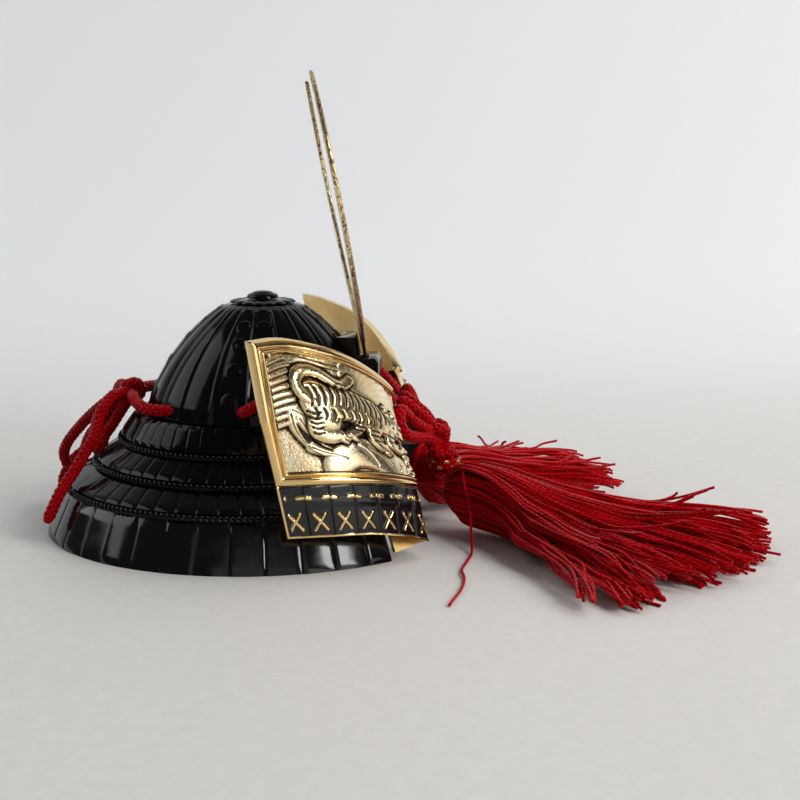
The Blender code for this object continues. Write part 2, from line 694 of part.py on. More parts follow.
def horn_outline():
    """Half outline of the crest, from the foot's middle up one horn and back to the middle."""
    spread = CREST_HALF_SPREAD
    sections = [(x * spread, z * CREST_HEIGHT, w * spread) for x, z, w in HORN_SECTIONS]
    sections = smooth_path(sections, HORN_STEP)
    line = [Vector((section.x, section.y)) for section in sections]
    tip = line.pop()
    lower, upper = [], []
    for i, place in enumerate(line):
        after = line[i + 1] if i + 1 < len(line) else tip
        before = line[i - 1] if i else line[0] - Vector((1.0, 0.3)) * 0.001
        along = (after - before).normalized()
        out = Vector((along.y, -along.x))
        lower.append(place + out * sections[i].z)
        upper.append(place - out * sections[i].z)
    half_foot = CREST_TONGUE / 2
    slot_depth = LIP_HEIGHT - CREST_FOOT_RISE
    foot = [Vector((half_foot, 0.0)), Vector((half_foot, slot_depth))]
    notch = Vector((0.0, upper[0].y + half_foot * 0.4))
    return foot + lower + [tip] + upper[::-1] + [notch]


def make_crest():
    half = horn_outline()
    left = [Vector((-point.x, point.y)) for point in half[::-1] if point.x > 0.0]
    outline = [(point.x, point.y) for point in half + left]
    crest = prism("crest_horns", outline, -CREST_WALL / 2, CREST_WALL / 2, axes=(0, 2, 1))
    helpers.objects.unlink(crest)
    helmet.objects.link(crest)
    crest.hide_render = False
    crest.display_type = "TEXTURED"
    crest.data.materials.append(GOLD)
    crest.data.transform(crest_frame())
    smooth(crest, 30.0)

    bottom, front = block_place()
    top, lip = bottom + BLOCK_HEIGHT, bottom + LIP_HEIGHT
    profile = [(-0.4 * front, top), (-0.80 * front, top), (-0.83 * front, lip), (-0.97 * front, lip),
               (-front, lip - GAP * 4), (-front, bottom), (-0.4 * front, bottom)]
    block = prism("crest_block", profile, -BLOCK_WIDTH / 2, BLOCK_WIDTH / 2, axes=(1, 2, 0))
    helpers.objects.unlink(block)
    helmet.objects.link(block)
    block.hide_render = False
    block.display_type = "TEXTURED"
    block.data.materials.append(BLACK)
    slot_half = CREST_WALL / 2 + GAP
    slot_depth = LIP_HEIGHT - CREST_FOOT_RISE
    for half_width, foot in ((CREST_TONGUE / 2 + GAP, -GAP), (BLOCK_WIDTH, slot_depth - GAP)):
        box = [(-half_width, foot), (half_width, foot), (half_width, CREST_HEIGHT / 2),
               (-half_width, CREST_HEIGHT / 2)]
        slot = prism("slot", box, -slot_half, slot_half, axes=(0, 2, 1))
        slot.data.transform(crest_frame())
        combine(block, slot, "DIFFERENCE")
    rows = [bowl_profile(90.0 * k / 18) for k in range(18, -1, -1)]
    clearance = RIB_HEIGHT + GAP
    profile = [(0.0 if k == 0 else r + clearance, BROW + z + clearance) for k, (r, z) in enumerate(rows)]
    profile += [(BOWL_RADIUS + clearance, GUARD_HEIGHT), (0.0, GUARD_HEIGHT)]
    seat = turned("bowl_seat", profile, 48, BLACK)
    combine(block, seat, "DIFFERENCE")
    smooth(block, 30.0)


def route(points, side=1):
    return smooth_path([(side * x, y, z) for x, y, z in points], CORD_STEP)


def make_cords():
    for name, side in (("right", 1), ("left", -1)):
        tube("side_cord_" + name, route(SIDE_ROUTE, side), CORD_RADIUS, RED)
    radii = (KNOT_RADIUS, KNOT_RADIUS * 0.6, KNOT_RADIUS * 0.62)
    bow = ball("rear_bow", REAR_KNOT_CENTRE, radii, collection=helmet)
    bow.data.materials.append(RED)
    for points in (NEAR_LOOP_ROUTE, FAR_LOOP_ROUTE, NEAR_END_ROUTE, FAR_END_ROUTE):
        strand = as_mesh(tube("strand", route(points), CORD_RADIUS, RED, collection=helpers))
        combine(bow, strand, "UNION", crossing=True)
    smooth(bow, 60.0)


def make_front_knot():
    radii = (KNOT_RADIUS * 1.1, KNOT_RADIUS * 0.75, KNOT_RADIUS)
    knot = ball("front_knot", KNOT_CENTRE, radii, collection=helmet)
    knot.data.materials.append(RED)
    stem_top = Vector(BAND_CENTRE) + Vector((0.0, 0.0, BAND_HEIGHT))
    stem_foot = Vector(BAND_CENTRE) - Vector((0.0, 0.0, BAND_HEIGHT * 0.8))
    strands = [[(0.0, *stem_top[1:]), tuple(stem_foot)]]
    for side in (-1, 1):
        strands += [route(FRONT_STRAND, side), route(FRONT_WING, side)]
    for head in (NEAR_HEAD, FAR_HEAD):
        offset = Vector(head) - stem_foot
        scaled = Vector([a / b for a, b in zip(offset, HEAD_RADII)])
        bare = 1.0 - 1.0 / scaled.length - LINK_GAP / offset.length
        strands.append([tuple(stem_foot), tuple(stem_foot + offset * bare)])
    for i, path in enumerate(strands):
        radius = BAND_RADIUS - BAND_WALL - GAP if i == 0 else CORD_RADIUS
        strand = as_mesh(tube("strand", path, radius, RED, collection=helpers))
        combine(knot, strand, "UNION", crossing=True)
    smooth(knot, 60.0)
    top, bottom = BAND_CENTRE[2] + BAND_HEIGHT / 2, BAND_CENTRE[2] - BAND_HEIGHT / 2
    outer, inner = BAND_RADIUS, BAND_RADIUS - BAND_WALL
    profile = [(outer, top), (outer, bottom), (inner, bottom), (inner, top)]
    band = turned("knot_band", profile, 16, GOLD_THREAD, closed=True)
    band.data.transform(Matrix.Translation((BAND_CENTRE[0], BAND_CENTRE[1], 0.0)))
    smooth(band, 30.0)


def make_tassel(name, head, length, first, last, locks):
    """Head with locks that fan out over the table; angles are from straight ahead, towards the right."""
    body = ball(name, head, HEAD_RADII, collection=helmet)
    body.data.materials.append(RED)
    for k in range(locks):
        angle = radians(first + (last - first) * k / (locks - 1))
        reach = length * (1.0 - LOCK_STAGGER * (k % 2))
        path, radii = [], []
        for share, lift, girth in LOCK_SECTIONS:
            x = head[0] + sin(angle) * reach * share
            y = head[1] - cos(angle) * reach * share
            path.append((x, y, max(lift, girth + 0.02) * TASSEL_HEAD))
            radii.append(girth)
        lock = as_mesh(tube("lock", path, TASSEL_HEAD, RED, radii, resolution=1, collection=helpers))
        lock.data.transform(Matrix.Diagonal((1.0, 1.0, TASSEL_FLATNESS, 1.0)))
        combine(body, lock, "UNION")
    lowest = min(vertex.co.z for vertex in body.data.vertices)
    body.data.transform(Matrix.Translation((0.0, 0.0, -lowest)))
    smooth(body, 60.0)


make_bowl()
make_crown()
make_lames()
make_visor()
make_plates()
make_crest()
make_cords()
make_front_knot()
make_tassel("tassel_left", NEAR_HEAD, NEAR_LENGTH, 0.0, -64.0, 9)
make_tassel("tassel_right", FAR_HEAD, FAR_LENGTH, 25.0, 69.0, 6)

# Centre the hard pieces' footprint on the origin
soft = ("side_cord", "rear_bow", "front_knot", "knot_band", "tassel")
bpy.context.view_layer.update()
reach = [(piece.matrix_world @ Vector(place)).y for piece in helmet.objects
         if not piece.name.startswith(soft) for place in piece.bound_box]
setback = -(min(reach) + max(reach)) / 2
for piece in helmet.objects:
    piece.location.y += setback
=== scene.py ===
from math import cos, pi, radians, sin

import bmesh
import bpy
import numpy as np
from mathutils import Matrix, Vector


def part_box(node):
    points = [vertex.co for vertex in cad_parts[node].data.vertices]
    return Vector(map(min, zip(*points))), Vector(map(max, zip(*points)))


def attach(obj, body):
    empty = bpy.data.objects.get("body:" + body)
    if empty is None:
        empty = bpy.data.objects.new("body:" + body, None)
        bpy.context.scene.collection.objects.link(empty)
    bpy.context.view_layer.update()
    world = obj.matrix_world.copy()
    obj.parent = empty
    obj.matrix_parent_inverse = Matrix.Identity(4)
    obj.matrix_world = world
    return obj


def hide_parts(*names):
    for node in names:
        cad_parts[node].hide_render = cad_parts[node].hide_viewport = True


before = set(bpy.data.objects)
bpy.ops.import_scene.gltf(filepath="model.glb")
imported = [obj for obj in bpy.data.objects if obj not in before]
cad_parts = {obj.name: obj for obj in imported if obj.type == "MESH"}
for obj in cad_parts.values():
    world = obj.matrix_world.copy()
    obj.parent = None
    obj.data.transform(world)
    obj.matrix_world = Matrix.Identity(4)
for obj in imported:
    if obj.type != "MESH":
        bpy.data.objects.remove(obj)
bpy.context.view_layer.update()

crownLow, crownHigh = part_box("crown_button")
axisY = (crownLow[1] + crownHigh[1]) / 2      # the bowl's axis; the front faces -Y
axisPlace = np.array((0.0, axisY, 0.0))
scene = bpy.context.scene


# Small helpers

def addNode(tree, kind, inputs=None, **settings):
    node = tree.nodes.new(kind)
    for key, value in settings.items():
        setattr(node, key, value)
    for key, value in (inputs or {}).items():
        if isinstance(value, bpy.types.NodeSocket):
            tree.links.new(value, node.inputs[key])
        else:
            node.inputs[key].default_value = value
    return node


def newMaterial(name, color, roughness, **sockets):
    made = bpy.data.materials.new(name)
    made.use_nodes = True
    shader = made.node_tree.nodes["Principled BSDF"]
    shader.inputs["Base Color"].default_value = (*color, 1.0)
    shader.inputs["Roughness"].default_value = roughness
    for label, value in sockets.items():
        shader.inputs[label.replace("_", " ")].default_value = value
    return made, made.node_tree, shader


def noiseOf(tree, scale, detail=3.0, rough=0.5):
    coords = addNode(tree, "ShaderNodeTexCoord").outputs["Object"]
    return addNode(tree, "ShaderNodeTexNoise", {"Vector": coords, "Scale": scale, "Detail": detail,
                                               "Roughness": rough}).outputs["Fac"]


def ranged(tree, value, low, high, fromLow=0.0, fromHigh=1.0):
    return addNode(tree, "ShaderNodeMapRange", {"Value": value, "From Min": fromLow, "From Max": fromHigh,
                                               "To Min": low, "To Max": high}).outputs["Result"]


def calc(tree, operation, first, second=0.0):
    return addNode(tree, "ShaderNodeMath", {0: first, 1: second}, operation=operation).outputs[0]


def mixed(tree, share, first, second):
    node = addNode(tree, "ShaderNodeMix", data_type="RGBA")
    for index, value in ((0, share), (6, first), (7, second)):
        if isinstance(value, bpy.types.NodeSocket):
            tree.links.new(value, node.inputs[index])
        else:
            node.inputs[index].default_value = (*value, 1.0) if index else value
    return node.outputs[2]


def bumpFrom(tree, shader, height, strength, distance, before=None):
    inputs = {"Height": height, "Strength": strength, "Distance": distance}
    if before is not None:
        inputs["Normal"] = before
    normal = addNode(tree, "ShaderNodeBump", inputs).outputs["Normal"]
    tree.links.new(normal, shader.inputs["Normal"])
    return normal


def attribute(tree, name):
    return addNode(tree, "ShaderNodeAttribute", attribute_name=name).outputs["Fac"]


def newPiece(name, content):
    piece = bpy.data.objects.new(name, content)
    scene.collection.objects.link(piece)
    return piece


def meshPiece(name, points, faces, *finishes, edges=()):
    mesh = bpy.data.meshes.new(name)
    mesh.from_pydata(np.asarray(points, dtype=float).tolist(), list(edges), list(faces))
    for finish in finishes:
        mesh.materials.append(finish)
    if len(faces):
        mesh.shade_smooth()
    return newPiece(name, mesh)


def faceOut(piece, angle):
    form = bmesh.new()
    form.from_mesh(piece.data)
    bmesh.ops.recalc_face_normals(form, faces=form.faces)
    form.to_mesh(piece.data)
    form.free()
    piece.data.set_sharp_from_angle(angle=radians(angle))
    return piece


def gridFaces(rows, columns, ring=False, first=0, flip=False):
    faces = []
    for i in range(rows - 1):
        for j in range(columns if ring else columns - 1):
            k = (j + 1) % columns
            a = first + i * columns
            b = a + columns
            loop = (a + j, a + k, b + k, b + j)
            faces.append(loop[::-1] if flip else loop)
    return faces


def settle(piece):
    bpy.context.view_layer.update()
    graph = bpy.context.evaluated_depsgraph_get()
    mesh = bpy.data.meshes.new_from_object(piece.evaluated_get(graph))
    piece.modifiers.clear()
    piece.data = mesh
    return piece


def roundEdges(piece, width, segments, bevelFrom, sharpFrom):
    bevel = piece.modifiers.new("edge", "BEVEL")
    bevel.width = width
    bevel.segments = segments
    bevel.limit_method = "ANGLE"
    bevel.angle_limit = radians(bevelFrom)
    settle(piece).data.shade_smooth()
    piece.data.set_sharp_from_angle(angle=radians(sharpFrom))


def runTree(piece, tree, values):
    step = piece.modifiers.new(tree.name, "NODES")
    step.node_group = tree
    for item in tree.interface.items_tree:
        if item.item_type == "SOCKET" and item.in_out == "INPUT" and item.name in values:
            step[item.identifier] = values[item.name]
    return settle(piece)


def newTree(name, inputs):
    tree = bpy.data.node_groups.new(name, "GeometryNodeTree")
    for label, kind in inputs:
        tree.interface.new_socket(label, in_out="INPUT", socket_type="NodeSocket" + kind)
    tree.interface.new_socket("Result", in_out="OUTPUT", socket_type="NodeSocketGeometry")
    return tree, addNode(tree, "NodeGroupInput").outputs


def endTree(tree, geometry, finish):
    real = addNode(tree, "GeometryNodeRealizeInstances", {"Geometry": geometry})
    dressed = addNode(tree, "GeometryNodeSetMaterial", {"Geometry": real.outputs[0], "Material": finish})
    addNode(tree, "NodeGroupOutput", {"Result": dressed.outputs[0]})


def done(piece, slot, *nodes):
    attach(piece, "root")
    if nodes:
        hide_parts(*nodes)
    return piece


def betweenPoints(points, parts):
    # an even curve through the points, with so many parts from each to the next
    knots = np.asarray(points, dtype=float)
    knots = np.vstack([2 * knots[0] - knots[1], knots, 2 * knots[-1] - knots[-2]])
    t = np.linspace(0.0, 1.0, parts + 1)[:-1, None]
    fine = [0.5 * (2 * b + (c - a) * t + (2 * a - 5 * b + 4 * c - d) * t ** 2
                   + (3 * b - a - 3 * c + d) * t ** 3)
            for a, b, c, d in zip(knots, knots[1:], knots[2:], knots[3:])]
    return np.vstack(fine + [knots[-2:-1]])


def runOf(path):
    return np.concatenate([[0.0], np.cumsum(np.linalg.norm(np.diff(path, axis=0), axis=1))])


def readAt(at, run, values):
    return np.stack([np.interp(at, run, values[:, k]) for k in range(values.shape[1])], axis=1)


def smoothPath(points, step):
    fine = betweenPoints(points, 16)
    run = runOf(fine)
    return readAt(np.linspace(0.0, run[-1], max(5, round(run[-1] / step)) + 1), run, fine)


def around(radius, turn, level):
    # a place or a direction round the vertical axis, at an angle from straight ahead
    radius, turn, level = np.broadcast_arrays(radius, turn, level)
    return np.stack([radius * np.sin(turn), -radius * np.cos(turn), level], axis=-1)


# Camera, at the photograph's angle

view = {"azimuth": -86.9, "elevation": 9.63, "distance": 0.3964, "target": (0.0, -0.0361, 0.0328),
        "lens": 67.5}


def makeCamera():
    lens = bpy.data.cameras.new("camera")
    lens.lens = view["lens"]
    lens.sensor_width = 36.0
    lens.clip_start = 0.01
    camera = newPiece("camera", lens)
    a, e = radians(view["azimuth"]), radians(view["elevation"])
    back = Vector((sin(a) * cos(e), -cos(a) * cos(e), sin(e)))
    target = Vector(view["target"]) + Vector((0.0, axisY, 0.0))
    camera.location = target + back * view["distance"]
    camera.rotation_euler = back.to_track_quat("Z", "Y").to_euler()
    scene.camera = camera


makeCamera()
print("camera set")


# Finishes

def makeLacquer(name, shine):
    black, dusty = (0.0035, 0.0035, 0.004), (0.02, 0.02, 0.02)
    made, tree, shader = newMaterial(name, black, 0.1, Specular_IOR_Level=shine)
    mottle = noiseOf(tree, 260.0, 5.0, 0.6)
    tree.links.new(ranged(tree, mottle, 0.07, 0.18, 0.35, 0.75), shader.inputs["Roughness"])
    dust = noiseOf(tree, 3200.0, 2.0)
    specks = ranged(tree, dust, 0.0, 1.0, 0.74, 0.82)
    tree.links.new(mixed(tree, specks, black, dusty), shader.inputs["Base Color"])
    first = bumpFrom(tree, shader, noiseOf(tree, 90.0, 2.0), 0.25, 0.0003)
    bumpFrom(tree, shader, dust, 0.05, 0.00008, first)
    return made


def makeGold(name, bright, deep, roughLow, roughHigh, grain, etch=0.0):
    # Dark tone for real patina and etched scrolls; on the relief plates it also paints the shadow in the
    # hollow under the beast's belly.
    patinaShadeTone = (0.022, 0.016, 0.012)
    made, tree, shader = newMaterial(name, bright, roughLow, Metallic=1.0, Specular_IOR_Level=0.5)
    cloud = noiseOf(tree, 120.0, 4.0, 0.6)
    tone = mixed(tree, ranged(tree, cloud, 0.0, 1.0, 0.35, 0.7), bright, deep)
    patinaAndShade = attribute(tree, "patinaAndShade")
    grit = noiseOf(tree, 1500.0, 4.0, 0.65)
    patinaShadeShare = calc(tree, "MULTIPLY", patinaAndShade, ranged(tree, grit, 0.85, 1.35, 0.35, 0.65))
    if etch:        # fine dark scrolls cut into the metal
        contour = calc(tree, "ABSOLUTE", calc(tree, "SUBTRACT", noiseOf(tree, etch, 1.0, 0.4), 0.5))
        second = calc(tree, "ABSOLUTE", calc(tree, "SUBTRACT", contour, 0.09))
        scroll = calc(tree, "MAXIMUM", ranged(tree, contour, 1.0, 0.0, 0.012, 0.035),
                      ranged(tree, second, 1.0, 0.0, 0.008, 0.025))
        patinaShadeShare = calc(tree, "MAXIMUM", patinaShadeShare, calc(tree, "MULTIPLY", scroll, 0.85))
    patinaShadeShare = addNode(tree, "ShaderNodeClamp", {"Value": patinaShadeShare}).outputs[0]
    tree.links.new(mixed(tree, patinaShadeShare, tone, patinaShadeTone), shader.inputs["Base Color"])
    rough = ranged(tree, grit, roughLow, roughHigh, 0.3, 0.7)
    rough = calc(tree, "ADD", rough, calc(tree, "MULTIPLY", patinaShadeShare, 0.3))
    tree.links.new(rough, shader.inputs["Roughness"])
    first = bumpFrom(tree, shader, grit, grain, 0.00012)
    second = bumpFrom(tree, shader, noiseOf(tree, 420.0, 2.0), grain * 0.7, 0.0002, first)
    if etch:
        bumpFrom(tree, shader, calc(tree, "MULTIPLY", scroll, -1.0), 0.8, 0.00015, second)
    return made


def makePlateFinish():
    made = makeGold("reliefGold", (0.97, 0.83, 0.57), (0.85, 0.62, 0.30), 0.15, 0.30, 0.22)
    tree = made.node_tree
    shader = tree.nodes["Principled BSDF"]
    gold, polish = attribute(tree, "gold"), attribute(tree, "polish")
    black, warm = (0.005, 0.005, 0.006), (0.86, 0.58, 0.23)
    base = shader.inputs["Base Color"].links[0].from_socket
    rough = shader.inputs["Roughness"].links[0].from_socket
    smoother = calc(tree, "SUBTRACT", 1.0, calc(tree, "MULTIPLY", polish, 0.55))
    rough = calc(tree, "MULTIPLY", rough, smoother)
    clean = calc(tree, "SUBTRACT", 1.0, attribute(tree, "patinaAndShade"))
    deeper = calc(tree, "MULTIPLY", polish, clean)
    base = mixed(tree, calc(tree, "MULTIPLY", deeper, 0.85), base, warm)
    tree.links.new(mixed(tree, gold, black, base), shader.inputs["Base Color"])
    tree.links.new(gold, shader.inputs["Metallic"])
    glossy = ranged(tree, noiseOf(tree, 300.0, 4.0), 0.08, 0.18)
    rougher = calc(tree, "MULTIPLY", calc(tree, "SUBTRACT", rough, glossy), gold)
    tree.links.new(calc(tree, "ADD", glossy, rougher), shader.inputs["Roughness"])
    return made


def makeThread(name, bright, deep, pitch, plyDepth, **sockets):
    made, tree, shader = newMaterial(name, bright, 0.5, **sockets)
    phase = calc(tree, "MULTIPLY", attribute(tree, "along"), 2 * pi / pitch)
    one = calc(tree, "MULTIPLY", calc(tree, "SINE", phase), attribute(tree, "plyX"))
    two = calc(tree, "MULTIPLY", calc(tree, "COSINE", phase), attribute(tree, "plyY"))
    twist = calc(tree, "ADD", one, two)
    fibre = noiseOf(tree, 2600.0, 3.0, 0.6)
    # Darker colour in the grooves between the plies is painted shade; the fibre and cloud noise are the
    # thread's own tone.
    plyShadeAndTone = calc(tree, "ADD", ranged(tree, twist, 0.10, 0.85, -1.0, 0.6), ranged(tree, fibre, -0.12, 0.22))
    cloud = ranged(tree, noiseOf(tree, 70.0, 2.0), -0.15, 0.15)
    plyShadeAndTone = addNode(tree, "ShaderNodeClamp", {"Value": calc(tree, "ADD", plyShadeAndTone, cloud)}).outputs[0]
    tree.links.new(mixed(tree, plyShadeAndTone, deep, bright), shader.inputs["Base Color"])
    tree.links.new(ranged(tree, fibre, 0.30, 0.48), shader.inputs["Roughness"])
    first = bumpFrom(tree, shader, twist, 0.9, plyDepth)
    bumpFrom(tree, shader, fibre, 0.25, 0.00006, first)
    return made


lacquer = makeLacquer("blackLacquer", 0.42)
darkLacquer = makeLacquer("darkLacquer", 0.16)
crestGold = makeGold("crestGold", (0.92, 0.74, 0.42), (0.76, 0.52, 0.22), 0.16, 0.32, 0.25, 330.0)
satinGold = makeGold("satinGold", (0.86, 0.62, 0.28), (0.76, 0.50, 0.19), 0.28, 0.40, 0.10)
reliefGold = makePlateFinish()
silk = {"Specular_IOR_Level": 0.25, "Specular_Tint": (1.0, 0.15, 0.12, 1.0)}
redThread = makeThread("redThread", (0.60, 0.0, 0.007), (0.11, 0.0, 0.001), 0.0017, 0.00006, **silk)
redBraid = makeThread("redBraid", (0.50, 0.0, 0.006), (0.10, 0.0, 0.001), 0.0011, 0.00008, **silk)
goldThread = makeThread("goldThread", (0.95, 0.62, 0.16), (0.55, 0.26, 0.05), 0.0009, 0.00006, Metallic=0.9)


# Geometry Nodes: threads swept along many paths at once

def stored(tree, geometry, name, value):
    return addNode(tree, "GeometryNodeStoreNamedAttribute",
                   {"Geometry": geometry, "Name": name, "Value": value},
                   data_type="FLOAT", domain="POINT").outputs[0]


def makeSweepTree():
    tree, given = newTree("threadSweep", (("Paths", "Geometry"), ("Thread Radius", "Float"), ("Sides", "Int"),
                                          ("Plies", "Int"), ("Finish", "Material")))
    curve = addNode(tree, "GeometryNodeMeshToCurve", {"Mesh": given["Paths"]}).outputs[0]
    thick = addNode(tree, "GeometryNodeInputNamedAttribute", {"Name": "thickness"},
                    data_type="FLOAT").outputs[0]
    curve = addNode(tree, "GeometryNodeSetCurveRadius", {"Curve": curve, "Radius": thick}).outputs[0]
    run = addNode(tree, "GeometryNodeSplineParameter").outputs["Length"]
    curve = stored(tree, curve, "along", run)
    ring = addNode(tree, "GeometryNodeCurvePrimitiveCircle",
                   {"Resolution": given["Sides"], "Radius": given["Thread Radius"]}).outputs[0]
    index = addNode(tree, "GeometryNodeInputIndex").outputs[0]
    turn = calc(tree, "MULTIPLY", calc(tree, "DIVIDE", index, given["Sides"]), given["Plies"])
    turn = calc(tree, "MULTIPLY", turn, 2 * pi)
    for label, wave in (("plyX", "COSINE"), ("plyY", "SINE")):
        ring = stored(tree, ring, label, calc(tree, wave, turn))
    body = addNode(tree, "GeometryNodeCurveToMesh",
                   {"Curve": curve, "Profile Curve": ring, "Fill Caps": True})
    soft = addNode(tree, "GeometryNodeSetShadeSmooth", {"Geometry": body.outputs[0]}).outputs[0]
    endTree(tree, soft, given["Finish"])
    return tree


sweepTree = makeSweepTree()


def sweep(name, paths, thickness, radius, finish, sides=6, plies=2):
    points, edges, widths = [], [], []
    for path, width in zip(paths, thickness):
        first = len(points)
        points.extend(path)
        widths.extend(width)
        edges.extend((first + i, first + i + 1) for i in range(len(path) - 1))
    piece = meshPiece(name, points, [], edges=edges)
    layer = piece.data.attributes.new("thickness", "FLOAT", "POINT")
    layer.data.foreach_set("value", np.asarray(widths, dtype=np.float32))
    return runTree(piece, sweepTree,
                   {"Thread Radius": radius, "Sides": sides, "Plies": plies, "Finish": finish})


# Braided cord

braid = {"radius": 0.0015, "pitch": 0.0062, "strand": 0.00050, "weave": 0.00014, "step": 0.00034, "pairs": 4,
         "core": 0.00085, "tip": 0.0011}


def frameAlong(path):
    tangent = np.gradient(path, axis=0)
    tangent /= np.linalg.norm(tangent, axis=1)[:, None]
    side = np.cross(tangent[0], (0.3, 0.2, 0.93))
    sides = []
    for t in tangent:
        side = side - t * side.dot(t)
        side = side / np.linalg.norm(side)
        sides.append(side)
    sides = np.array(sides)
    return sides, np.cross(tangent, sides)


def braidPaths(path, taper):
    across, over = frameAlong(path)
    run = runOf(path)
    ends = np.ones(len(path))
    if taper:
        for away in (run, run[-1] - run):
            ends = np.minimum(ends, np.sqrt(np.clip(away / braid["tip"], 0.05, 1.0)))
    paths, widths = [path], [ends * braid["core"] / braid["strand"]]
    for k in range(braid["pairs"]):
        for way in (1, -1):
            start = 2 * pi * k / braid["pairs"] + (0.0 if way > 0 else pi / braid["pairs"])
            angle = start + way * 2 * pi * run / braid["pitch"]
            wave = way * np.sin(2 * pi * run * braid["pairs"] / braid["pitch"])
            out = (braid["radius"] - braid["strand"] + braid["weave"] * wave) * ends
            paths.append(path + across * (out * np.cos(angle))[:, None]
                         + over * (out * np.sin(angle))[:, None])
            widths.append(0.55 + 0.45 * ends)
    return paths, widths


def braidPiece(name, routes, node, taper=True):
    paths, widths = [], []
    for route in routes:
        some, thick = braidPaths(smoothPath(route, braid["step"]), taper)
        paths += some
        widths += thick
    return done(sweep(name, paths, widths, braid["strand"], redBraid), "red_cord", node)


def placed(points, side=1):
    return [(side * x, y + axisY, z) for x, y, z in points]


# The cords' routes round the bowl's axis, right side
sideRoute = [
    (0.0064, -0.0346, 0.0342), (0.0090, -0.0340, 0.0347), (0.0122, -0.0322, 0.0360),
    (0.0154, -0.0294, 0.0384), (0.0202, -0.0268, 0.0404), (0.0248, -0.0214, 0.0412),
    (0.0292, -0.0150, 0.0406), (0.0320, -0.0090, 0.0392), (0.0326, -0.0036, 0.0369),
    (0.0308, -0.0004, 0.0350), (0.0284, 0.0018, 0.0340), (0.0250, 0.0050, 0.0335),
    (0.0224, 0.0104, 0.0333), (0.0209, 0.0164, 0.0332), (0.0212, 0.0222, 0.0331),
    (0.0196, 0.0272, 0.0333), (0.0150, 0.0306, 0.0339), (0.0098, 0.0328, 0.0344),
    (0.0052, 0.0342, 0.0347),
]
nearLoopRoute = [
    (-0.0006, 0.0346, 0.0352), (-0.0052, 0.0374, 0.0301), (-0.0074, 0.0394, 0.0266),
    (-0.0094, 0.0408, 0.0244), (-0.0105, 0.0412, 0.0225), (-0.0105, 0.0429, 0.0211),
    (-0.0085, 0.0442, 0.0220), (-0.0065, 0.0441, 0.0251), (-0.0050, 0.0433, 0.0289),
    (-0.0035, 0.0402, 0.0325), (-0.0006, 0.0352, 0.0350),
]
farLoopRoute = [
    (0.0010, 0.0376, 0.0344), (0.0042, 0.0432, 0.0312), (0.0066, 0.0492, 0.0262),
    (0.0088, 0.0526, 0.0228), (0.0112, 0.0562, 0.0188), (0.0130, 0.0582, 0.0150),
    (0.0138, 0.0576, 0.0118), (0.0130, 0.0552, 0.0112), (0.0108, 0.0526, 0.0142),
    (0.0086, 0.0510, 0.0172), (0.0064, 0.0488, 0.0214), (0.0044, 0.0444, 0.0262),
    (0.0010, 0.0372, 0.0332),
]
nearEndRoute = [
    (-0.0006, 0.0352, 0.0350), (-0.0060, 0.0378, 0.0347), (-0.0090, 0.0389, 0.0343),
    (-0.0130, 0.0406, 0.0312), (-0.0172, 0.0413, 0.0261), (-0.0208, 0.0429, 0.0223),
    (-0.0238, 0.0452, 0.0178), (-0.0260, 0.0480, 0.0134), (-0.0274, 0.0502, 0.0086),
    (-0.0282, 0.0515, 0.0056),
]
farEndRoute = [
    (0.0010, 0.0370, 0.0356), (0.0080, 0.0404, 0.0350), (0.0140, 0.0430, 0.0312),
    (0.0188, 0.0448, 0.0258), (0.0210, 0.0476, 0.0205), (0.0204, 0.0518, 0.0160),
    (0.0190, 0.0566, 0.0125), (0.0180, 0.0592, 0.0085), (0.0172, 0.0604, 0.0048),
]
frontStrand = [
    (0.0048, -0.0358, 0.0337), (0.0040, -0.0384, 0.0324), (0.0035, -0.0405, 0.0305),
    (0.0030, -0.0426, 0.0288), (0.0025, -0.0447, 0.0258), (0.0020, -0.0460, 0.0225),
    (0.0010, -0.0470, 0.0196), (0.0002, -0.0478, 0.0175),
]
frontWing = [
    (0.0012, -0.0458, 0.0236), (0.0070, -0.0427, 0.0267), (0.0110, -0.0398, 0.0295),
    (0.0148, -0.0381, 0.0323), (0.0174, -0.0370, 0.0331), (0.0191, -0.0371, 0.0308),
    (0.0186, -0.0379, 0.0281), (0.0164, -0.0394, 0.0264), (0.0120, -0.0414, 0.0250),
    (0.0070, -0.0438, 0.0240), (0.0012, -0.0462, 0.0216),
]


def makeCord(name, route, node):
    piece = braidPiece(name, [route], node)


def wrapRing(centre, normal, radius, squash=1.0):
    # a closed turn of cord round a knot
    normal = Vector(normal).normalized()
    across = normal.orthogonal().normalized()
    over = normal.cross(across)
    turns = [k * 2 * pi / 40 for k in range(41)]
    return np.array([Vector(centre) + across * cos(a) * radius + over * sin(a) * radius * squash
                     for a in turns])


for side, label in ((1, "right"), (-1, "left")):
    makeCord("sideCord" + label.title(), placed(sideRoute, side), "side_cord_" + label)
for name, route, farEnd in (("bowLoopNear", nearLoopRoute, "knot"), ("bowLoopFar", farLoopRoute, "knot"),
                            ("bowEndNear", nearEndRoute, "bare"), ("bowEndFar", farEndRoute, "bare")):
    makeCord(name, placed(route), "rear_bow")


def makeRearKnot():
    x, y, z = 0.0, 0.0350 + axisY, 0.0349
    routes = [wrapRing((x - 0.0008, y, z), (1.0, 0.3, 0.25), 0.0021),
              wrapRing((x + 0.0014, y + 0.0004, z - 0.0002), (1.0, -0.35, -0.3), 0.0020)]
    return braidPiece("rearKnot", routes, "rear_bow", taper=False)


makeRearKnot()
print("side cords and bow made")


# Front knot, its gold band and the tassels

knot = {"centre": (0.0, -0.0464, 0.0222), "bandCentre": (0.0, -0.0480, 0.0163), "bandRadius": 0.0042,
        "bandHeight": 0.0032, "bandTurns": 5, "beads": 14, "beadRise": 0.00075}


